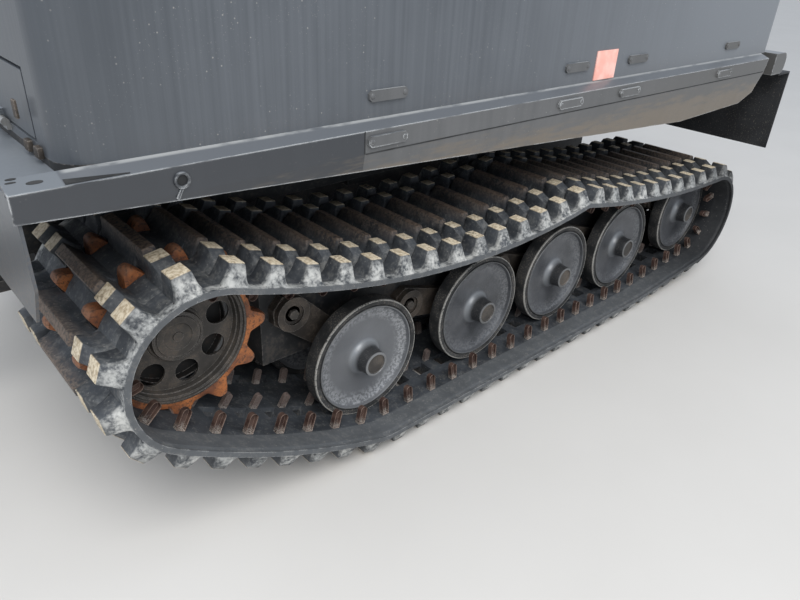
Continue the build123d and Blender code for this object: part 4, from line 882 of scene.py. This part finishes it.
def wheel():
    """A dished disc with its hub and its bonded tyre, outer face at Y zero."""
    bm = spun(WHEEL_PROFILE, 72)
    layers = {name: bm.verts.layers.float.new(name) for name in ("rim", "hub_shadow", "fillet_highlight", "outer_ring")}
    for vert in bm.verts:
        radius = hypot(vert.co.x, vert.co.z)
        for name, inner, outer, low, high in WHEEL_MARKS:
            if inner <= radius <= outer and low <= vert.co.y <= high:
                vert[layers[name]] = 1.0
    for face in bm.faces:
        middle = face.calc_center_median()
        radius = hypot(middle.x, middle.z)
        if radius > TYRE_INNER:
            face.material_index = 1
        elif radius < HUB_FACE_RADIUS and middle.y > HUB_FACE_Y:
            face.material_index = 2
    return as_mesh(bm, "wheel")


def wheel_places():
    """Each axle's outer wheel and the one that faces it."""
    places = []
    for x, z in [(x, WHEEL_Z) for x in WHEEL_XS] + [IDLER]:
        places.append(at(x, WHEEL_FACE, z))
        places.append(at(x, 2 * TRACK_Y - WHEEL_FACE, z) @ MIRRORED)
    return places


both_hands(
    wheel(), "wheels", [FINISHES["wheel_paint"], TYRE_RUBBER, FINISHES["sprocket_steel"]],
    wheel_places(), 32.0, "road_wheels")


# Sprocket: rounded teeth joined by their ring, a grooved rim and a grooved hub.

TOOTH_HALF_WIDTH = 0.0228
TOOTH_ROW = 0.105
RING_RADIUS = 0.1955
RING_SHOULDER = 0.1925
RING_BORE = 0.1801
TOOTH_RISE = 0.0455
TOOTH_HALF_LENGTH = 0.0350
# The share of a tooth's rise that its shoulders have.
SHOULDER_RISE = 0.55


def tooth_bump(angle, across):
    """How far the ring's surface rises into a tooth, at an angle and a place across the ring."""
    step = 2 * pi / TEETH
    turn = ((angle + step / 2) % step) - step / 2
    reach = abs(turn) * RING_RADIUS / TOOTH_HALF_LENGTH
    if reach >= 1.0:
        return 0.0
    fall = max(0.0, (reach - 0.10) / 0.90)
    return TOOTH_RISE * (1.0 - fall * fall * (3.0 - 2.0 * fall)) * (1.0 - 0.14 * across ** 4)


def tooth_ring():
    """One orange ring with its rounded teeth, in the middle of its width."""
    half = TOOTH_HALF_WIDTH
    outer = [
        (RING_SHOULDER, -half), (RING_RADIUS - 0.001, -half * 0.93), (RING_RADIUS, -half * 0.6),
        (RING_RADIUS, 0.0),
    ]
    outer += [(radius, -y) for radius, y in reversed(outer[:-1])]
    bm = spun([(RING_BORE, -half)] + outer + [(RING_BORE, half), (RING_BORE, -half)], TEETH * 24)
    for vert in bm.verts:
        radius = hypot(vert.co.x, vert.co.z)
        if radius > RING_SHOULDER - 0.001:
            angle = atan2(vert.co.z, vert.co.x)
            across = vert.co.y / half
            share = SHOULDER_RISE if radius < RING_SHOULDER + 0.001 else 1.0
            grown = radius + tooth_bump(angle, across) * share
            vert.co.x *= grown / radius
            vert.co.z *= grown / radius
    return as_mesh(bm, "tooth_ring")


both_hands(
    tooth_ring(), "teeth", [FINISHES["tooth_orange"]],
    [at(SPROCKET[0], TRACK_Y + side * TOOTH_ROW, SPROCKET[1]) @ Matrix.Rotation(-TOOTH_PHASE, 4, "Y")
     for side in (1, -1)], 42.0, "sprocket_teeth")

# The sprocket itself, as (radius, distance from the track's middle): a stepped rim, a flat disc with eight
# holes set back in it, and a ringed hub on a plain tube, with the same on the inner side.

RIM_PROFILE = (
    (0.1800, 0.0830), (0.1800, 0.1265), (0.1790, 0.1275), (0.1745, 0.1275), (0.1735, 0.1262),
    (0.1722, 0.1200), (0.1700, 0.1192), (0.1672, 0.1185), (0.1662, 0.1120), (0.1640, 0.1060),
    (0.1620, 0.1050), (0.1600, 0.0980), (0.1585, 0.0930), (0.1585, 0.0850), (0.1650, 0.0840),
    (0.1720, 0.0830), (0.1800, 0.0830),
)
HUB_SIDE = (
    (0.0, 0.1130), (0.0120, 0.1130), (0.0130, 0.1120), (0.0140, 0.1100), (0.0340, 0.1092),
    (0.0360, 0.1102), (0.0375, 0.1120), (0.0545, 0.1125), (0.0560, 0.1095), (0.0590, 0.1090),
    (0.0605, 0.1112), (0.0655, 0.1110), (0.0672, 0.1040), (0.0692, 0.1000), (0.0715, 0.0995),
    (0.0740, 0.0975), (0.0750, 0.0925), (0.0760, 0.0860), (0.0820, 0.0850),
)
DISC_FACE = 0.0920
DISC_THICK = 0.0070
DISC_OUTER = 0.1590
DISC_INNER = 0.0745
HOLE_CIRCLE = 0.1190
HOLE_RADIUS = 0.0320
HOLE_PHASE = radians(36.0)


def holed_disc():
    """A flat ring with eight round holes, its outer face at Y zero."""
    bm = bmesh.new()
    bmesh.ops.create_circle(bm, segments=96, radius=DISC_OUTER)
    bmesh.ops.create_circle(bm, segments=48, radius=DISC_INNER)
    for index in range(8):
        turn = HOLE_PHASE + index * pi / 4
        place = Matrix.Translation((HOLE_CIRCLE * cos(turn), HOLE_CIRCLE * sin(turn), 0))
        bmesh.ops.create_circle(bm, segments=28, radius=HOLE_RADIUS, matrix=place)
    bmesh.ops.triangle_fill(bm, edges=bm.edges[:], use_beauty=True)
    bmesh.ops.rotate(bm, matrix=Matrix.Rotation(pi / 2, 3, "X"), verts=bm.verts)
    grown = bmesh.ops.extrude_face_region(bm, geom=bm.faces[:], use_keep_orig=True)
    back = [item for item in grown["geom"] if isinstance(item, bmesh.types.BMVert)]
    bmesh.ops.translate(bm, vec=(0, -DISC_THICK, 0), verts=back)
    return as_mesh(bm, "holed_disc")


def sprocket_body():
    """Both rims and discs and the hub between them, about the track's middle plane."""
    sides = (AS_IS, MIRRORED)
    bm = copies(as_mesh(spun(RIM_PROFILE, 96), "rim"), sides)
    faces = [side @ Matrix.Translation((0, DISC_FACE, 0)) for side in sides]
    bm.from_mesh(as_mesh(copies(holed_disc(), faces), "discs"))
    inner_side = tuple((radius, -y) for radius, y in reversed(HUB_SIDE))
    bm.from_mesh(as_mesh(spun(HUB_SIDE + inner_side, 64), "hub"))
    return as_mesh(bm, "sprocket_body")


both_hands(
    sprocket_body(), "sprockets", [FINISHES["sprocket_steel"]],
    [at(SPROCKET[0], TRACK_Y, SPROCKET[1])], 30.0, "sprocket")

# A near-black pan of painted shade that closes the view through the disc's holes.

SHADE_PAN_Y = 0.062
HOLE_SHADE_PAN = (
    (0.0815, 0.0), (0.1405, 0.0), (0.1405, 0.0220), (0.1425, 0.0220), (0.1425, -0.0030), (0.0815, -0.0030),
    (0.0815, 0.0),
)
both_hands(
    as_mesh(spun(HOLE_SHADE_PAN, 64), "shade_pan"), "sprocket_hole_shade", [HOLE_SHADE],
    [at(SPROCKET[0], TRACK_Y + SHADE_PAN_Y, SPROCKET[1])], 30.0)


# Small trim: bolts, rivets, seams and frames.

def turned(profile, steps):
    """A turned cell that stands along Y."""
    return as_mesh(spun(profile, steps), "turned")


def block(x, y, z, rounding=0.0):
    """A rounded block cell."""
    return as_mesh(rounded_block(x, y, z, rounding), "block")


def rounded_frame(width, height, corner, band, thick, rounding=0.004):
    """A frame round an opening, in the XZ plane, with its outer face towards Y plus."""
    bm = bmesh.new()
    bmesh.ops.create_grid(bm, x_segments=1, y_segments=1, size=0.5)
    bmesh.ops.scale(bm, vec=(width, height, 1), verts=bm.verts)
    bmesh.ops.bevel(
        bm, geom=bm.verts[:], offset=corner, segments=6, profile=0.5, affect="VERTICES", material=-1)
    middle = bm.faces[:]
    bmesh.ops.inset_region(
        bm, faces=middle, thickness=band, depth=0.0, use_even_offset=True, use_boundary=True)
    bmesh.ops.delete(bm, geom=middle, context="FACES_ONLY")
    bmesh.ops.rotate(bm, matrix=Matrix.Rotation(-pi / 2, 3, "X"), verts=bm.verts)
    bmesh.ops.recalc_face_normals(bm, faces=bm.faces)
    ring = bm.faces[:]
    grown = bmesh.ops.extrude_face_region(bm, geom=ring, use_keep_orig=True)
    bmesh.ops.translate(
        bm, vec=(0, thick, 0), verts=[item for item in grown["geom"] if isinstance(item, bmesh.types.BMVert)])
    bmesh.ops.recalc_face_normals(bm, faces=bm.faces)
    front = [edge for edge in bm.edges if all(vert.co.y > thick - 1e-6 for vert in edge.verts)]
    front = [edge for edge in front if abs(edge.calc_face_angle(0.0)) > 1.0]
    bmesh.ops.bevel(bm, geom=front, offset=rounding, segments=2, profile=0.5, affect="EDGES", material=-1)
    return as_mesh(bm, "frame")


LEAN = atan2(0.085, 0.630)
WALL_WAIST_Z = 1.640
FACING_FRONT = Matrix.Rotation(-pi / 2, 4, "Z")
FACING_REAR = Matrix.Rotation(pi / 2, 4, "Z")
FACING_UP = Matrix.Rotation(pi / 2, 4, "X")
ON_SLOPE = Matrix.Rotation(SLOPE_TURN, 4, "X")

SEAL = (SEAL_RUBBER, "flap_rubber")
SILL_PAINT = (FINISHES["sill_paint"], "sill_paint")
ARM_STEEL = (FINISHES["arm_steel"], "arm_steel")
PIVOT_STEEL = (FINISHES["sprocket_steel"], "arm_steel")
BODY_PAINT = (FINISHES["body_paint"], "body_paint")
SEAT_CLOTH = (FINISHES["seat_cloth"], "seat_cloth")


def on_upper_wall(x, z, out):
    """A place on the left wall above its waist, where Y plus is the wall's outward side."""
    inwards = (z - WALL_WAIST_Z) * tan(LEAN)
    return at(x, WALL_Y - inwards, z) @ Matrix.Rotation(LEAN, 4, "X") @ Matrix.Translation((0, out, 0))


def on_ledge_slope(x, y, along, across):
    """A place on the slope beside the ledge, where a flat disc of radius 1 turns into an oval."""
    z = SLOPE_FOOT_Z + SLOPE_RISE * (SILL_Y - y)
    return at(x, y, z) @ ON_SLOPE @ Matrix.Diagonal((along, across, 1, 1)) @ FACING_UP


def trim(name, cell, places, finish, body="car", smooth=35.0, sides=(AS_IS, MIRRORED)):
    """Copies of one cell at places on the left, and the same on each other side. A finish is a material
    and its slot's name, which is not used."""
    everywhere = [side @ place for side in sides for place in places]
    return finished(copies(cell, everywhere), name, [finish[0]], body, smooth)


STRAPS = [(x, WALL_Y, 1.096) for x in (0.755, -0.003, -0.349, -1.060)]
STRAPS += [(x, SILL_Y, 1.004) for x in (0.786, 0.061, -0.268, -0.960)]
STRAP_END = 0.050
STRAP_FACE = 0.0065
RIVET = ((0.0, 0.0035), (0.004, 0.003), (0.0065, 0.0012), (0.007, -0.001))
RIVET_PLACES = [at(x + end, y + STRAP_FACE, z) for x, y, z in STRAPS for end in (-STRAP_END, STRAP_END)]
trim("rivets", turned(RIVET, 12), RIVET_PLACES, SILL_PAINT)

# The sill's eyelet with the tab below it and a dark disc of painted shade in its eye, and the seams of its
# panels, which stand a little proud of it.

EYELET = (
    (0.011, -0.001), (0.011, 0.004), (0.0125, 0.0055), (0.0155, 0.0055), (0.017, 0.003), (0.017, -0.001),
)
EYELET_HOLE_SHADE = ((0.0, 0.0008), (0.0112, 0.0008), (0.0112, -0.001))
EYELET_PLACE = at(1.297, SILL_Y, 1.001)
TAB_PLACE = at(1.303, SILL_Y + 0.0005, 0.977) @ Matrix.Rotation(-0.5, 4, "Y")
SEAM_Y = SILL_Y + 0.0002
trim("sill_eyelets", turned(EYELET, 24), [EYELET_PLACE], SILL_PAINT)
trim("eyelet_hole_shades", turned(EYELET_HOLE_SHADE, 24), [EYELET_PLACE], SEAL)
trim("eyelet_tabs", block(0.007, 0.005, 0.026, 0.0015), [TAB_PLACE], SILL_PAINT)
trim("sill_joints", block(0.003, 0.0015, 0.052), [at(SILL_JOINT_X, SEAM_Y, 1.003)], SEAL)
trim("sill_laps", block(2.20, 0.0015, 0.003), [at(-0.250, SEAM_Y, 0.9765)], SEAL)

# The dark gap at the slope's front end, narrow at its rear, and dark discs of painted shade for the ledge's
# oval hole and two slots.

GAP = block(0.110, 0.014, 0.0015)
for vert in GAP.vertices:
    if vert.co.x < 0 and vert.co.y < 0:
        vert.co.y = 0.005
trim("foot_gaps", GAP, [at(1.444, 0.9305, 1.0334) @ ON_SLOPE], SEAL)
FLAT_DISC = ((0.0, 0.001), (1.0, 0.001), (1.0, -0.0005))
LEDGE_HOLE_SHADES = ((1.541, 0.919, 0.0135, 0.0042), (1.572, 0.903, 0.0085, 0.0024), (1.575, 0.911, 0.0085, 0.0018))
trim("ledge_hole_shades", turned(FLAT_DISC, 24), [on_ledge_slope(*hole) for hole in LEDGE_HOLE_SHADES], SEAL)

FOOT_BLOCKS = [at(1.4945, 0.732, 1.0485), at(1.4945, 0.793, 1.0495)]
trim("front_wall_blocks", block(0.012, 0.026, 0.022, 0.003), FOOT_BLOCKS, ARM_STEEL)
trim("hatch_latches", block(0.006, 0.018, 0.034, 0.002), [at(1.5065, 0.745, 1.119)], ARM_STEEL, "front_hatch")

# A bolt and its washer on each trailing arm's pivot.

PIVOT_FACE_Y = 0.7080
PIVOTS = ((0.917, 0.466), (0.460, 0.340), (0.002, 0.340), (-0.461, 0.340))
HEX = turned(((0.0, 0.011), (0.0150, 0.011), (0.0165, 0.0095), (0.0165, 0.0)), 6)
WASHER = turned(((0.006, 0.002), (0.0245, 0.002), (0.0250, 0.0012), (0.0250, -0.001)), 20)
for name, cell, rise in (("arm_bolts", HEX, 0.001), ("arm_washers", WASHER, 0.0)):
    trim(name, cell, [at(x, PIVOT_FACE_Y + rise, z) for x, z in PIVOTS], PIVOT_STEEL)

# Rubbers round the windows, frames and dividers of the lamps, and the roof's gutters.

WINDOW_Z = 1.910
LAMP_Z = 1.130
SIDE_RUBBER = rounded_frame(0.985, 0.446, 0.072, 0.030, 0.009)
FRONT_RUBBER = rounded_frame(0.886, 0.446, 0.072, 0.030, 0.009)
DOOR_RUBBER = rounded_frame(0.406, 0.396, 0.056, 0.026, 0.008)
LAMP_BEZEL = rounded_frame(0.172, 0.092, 0.010, 0.012, 0.034, 0.002)
for name, x in (("front", 0.780), ("rear", -0.760)):
    trim(f"side_window_rubber_{name}", SIDE_RUBBER, [on_upper_wall(x, WINDOW_Z, -0.0005)], SEAL)
trim("front_window_rubber", FRONT_RUBBER, [at(1.4895, 0, WINDOW_Z) @ FACING_FRONT], SEAL, sides=(AS_IS,))
trim(
    "door_window_rubber", DOOR_RUBBER, [at(-1.4730, 0, 1.885) @ FACING_REAR], SEAL, "rear_door",
    sides=(AS_IS,))
trim("lamp_bezels", LAMP_BEZEL, [at(-1.4690, 0.720, LAMP_Z) @ FACING_REAR], SEAL)
DIVIDERS = [at(-1.5105, y, LAMP_Z) for y in (0.694, 0.746)]
trim("lamp_dividers", block(0.004, 0.006, 0.078, 0.001), DIVIDERS, SEAL)
trim("roof_gutters", block(2.78, 0.018, 0.022, 0.004), [at(0.010, 0.823, 2.262)], BODY_PAINT)


# Padded benches: one pad is filled by cloth pressure and sewn across, then copied along each bench.

PAD_VOXEL = 0.0115
PAD_ROUNDING = 0.014
PAD_PRESSURE = 4.0
FILL_FRAMES = 20
SEAM_PULL = 0.008
SEAM_HALF = 0.020


def stuffed(name, length, depth, height, cap, top_axis, outward):
    """A pad swollen by at most cap from a smaller block, kept inside its length, depth and height. Its seams
    are pulled in on the side that faces outward along the top axis."""
    half = Vector((length, depth, height)) / 2
    start = rounded_block(length - 1.3 * cap, depth - 1.3 * cap, height - 1.6 * cap, PAD_ROUNDING, 3)
    pad = bpy.data.objects.new(name, as_mesh(start, name))
    scene = bpy.context.scene
    scene.collection.objects.link(pad)
    remesh = pad.modifiers.new("even", "REMESH")
    remesh.mode = "VOXEL"
    remesh.voxel_size = PAD_VOXEL
    even = bpy.data.meshes.new_from_object(pad.evaluated_get(bpy.context.evaluated_depsgraph_get()))
    pad.modifiers.clear()
    pad.data = even
    places = [vert.co.copy() for vert in even.vertices]
    swollen = even
    cloth = pad.modifiers.new("fill", "CLOTH")
    cloth.settings.quality = 4
    cloth.settings.use_pressure = True
    cloth.settings.uniform_pressure_force = PAD_PRESSURE
    cloth.settings.effector_weights.gravity = 0.0
    cloth.collision_settings.use_collision = False
    cloth.point_cache.frame_start = 1
    cloth.point_cache.frame_end = FILL_FRAMES
    for step in range(1, FILL_FRAMES + 1):
        scene.frame_set(step)
    swollen = bpy.data.meshes.new_from_object(pad.evaluated_get(bpy.context.evaluated_depsgraph_get()))
    pad.modifiers.clear()
    scene.frame_set(1)
    bm = bmesh.new()
    bm.from_mesh(swollen)
    bpy.data.objects.remove(pad)
    for vert, place in zip(bm.verts, places):
        move = vert.co - place
        if move.length > cap:
            vert.co = place + move * (cap / move.length)
    bmesh.ops.smooth_vert(
        bm, verts=bm.verts, factor=0.5, use_axis_x=True, use_axis_y=True, use_axis_z=True)
    for vert in bm.verts:
        flat_side = vert.co[top_axis] * outward < -half[top_axis] * 0.6
        if not flat_side:
            for seam in (-length / 6, length / 6):
                pull = SEAM_PULL * max(0.0, 1.0 - abs(vert.co.x - seam) / SEAM_HALF) ** 1.5
                vert.co[top_axis] -= pull * outward
        for axis in range(3):
            vert.co[axis] = max(-half[axis], min(half[axis], vert.co[axis]))
    return as_mesh(bm, name)


PAD_XS = (-0.975, -0.325, 0.325, 0.975)
SEAT_PAD = stuffed("seat_pad", 0.648, 0.468, 0.089, 0.014, 2, 1)
BACK_PAD = stuffed("back_pad", 0.648, 0.059, 0.348, 0.011, 1, -1)
BENCHES = (("bench_cushions", SEAT_PAD, 0.565, 1.120), ("bench_backrests", BACK_PAD, 0.840, 1.385))
for name, cell, y, z in BENCHES:
    pads = trim(f"{name}_padded", cell, [at(x, y, z) for x in PAD_XS], SEAT_CLOTH, smooth=80.0)
    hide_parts(name)


# Stage: floor, backdrop colour, lights and the camera at the photograph's angle.

def stage():
    """A pale floor, and soft light from two large lamps and from the room around."""
    scene = bpy.context.scene
    bm = bmesh.new()
    bmesh.ops.create_grid(bm, x_segments=1, y_segments=1, size=30.0)
    mesh = bpy.data.meshes.new("floor")
    bm.to_mesh(mesh)
    bm.free()
    floor = bpy.data.objects.new("floor", mesh)
    scene.collection.objects.link(floor)
    ground = Finish("pale_floor")
    base = ground.mixed(ground.noise(1.5, 3.0), (0.60, 0.585, 0.56), (0.66, 0.645, 0.62))
    mesh.materials.append(ground.wear(base, 0.9))
    world = bpy.data.worlds.new("room")
    scene.world = world
    world.use_nodes = True
    shade = world.node_tree.nodes["Background"]
    shade.inputs["Color"].default_value = (0.80, 0.86, 0.95, 1)
    shade.inputs["Strength"].default_value = 0.85
    for name, place, size, power, tint in (
        ("key", (2.5, 5.0, 6.5), 5.0, 520.0, (1.0, 0.98, 0.95)),
        ("fill", (6.0, -1.0, 4.5), 4.0, 50.0, (0.93, 0.96, 1.0)),
    ):
        lamp = bpy.data.lights.new(name, "AREA")
        lamp.size = size
        lamp.energy = power
        lamp.color = tint
        thing = bpy.data.objects.new(name, lamp)
        thing.location = place
        thing.rotation_mode = "QUATERNION"
        thing.rotation_quaternion = (Vector((0, 0, 0.8)) - Vector(place)).to_track_quat("-Z", "Y")
        scene.collection.objects.link(thing)
    scene.view_settings.view_transform = "Standard"


# The photo's camera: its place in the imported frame, its turns in degrees, and how many of the photo's 800
# pixels its focal length spans.
CAMERA_PLACE = (1.6441, 2.0936, 1.4262)
CAMERA_YAW = 43.15
CAMERA_PITCH = 29.08
CAMERA_ROLL = 2.99
FOCAL_PIXELS = 659.0
PHOTO_WIDTH = 800.0
SENSOR_WIDTH = 36.0


def photo_camera():
    """The camera where the photographer stood."""
    yaw, pitch, roll = radians(CAMERA_YAW), radians(CAMERA_PITCH), radians(CAMERA_ROLL)
    ahead = Vector((-sin(yaw) * cos(pitch), -cos(yaw) * cos(pitch), -sin(pitch)))
    level = ahead.cross(Vector((0, 0, 1))).normalized()
    upright = level.cross(ahead)
    right = level * cos(roll) + upright * sin(roll)
    top = upright * cos(roll) - level * sin(roll)
    camera = bpy.data.cameras.new("photo_camera")
    camera.sensor_width = SENSOR_WIDTH
    camera.lens = SENSOR_WIDTH * FOCAL_PIXELS / PHOTO_WIDTH
    camera.clip_start = 0.05
    thing = bpy.data.objects.new("photo_camera", camera)
    turn = Matrix((right, top, -ahead)).transposed().to_4x4()
    thing.matrix_world = Matrix.Translation(CAMERA_PLACE) @ turn
    bpy.context.scene.collection.objects.link(thing)
    bpy.context.scene.camera = thing


stage()
photo_camera()
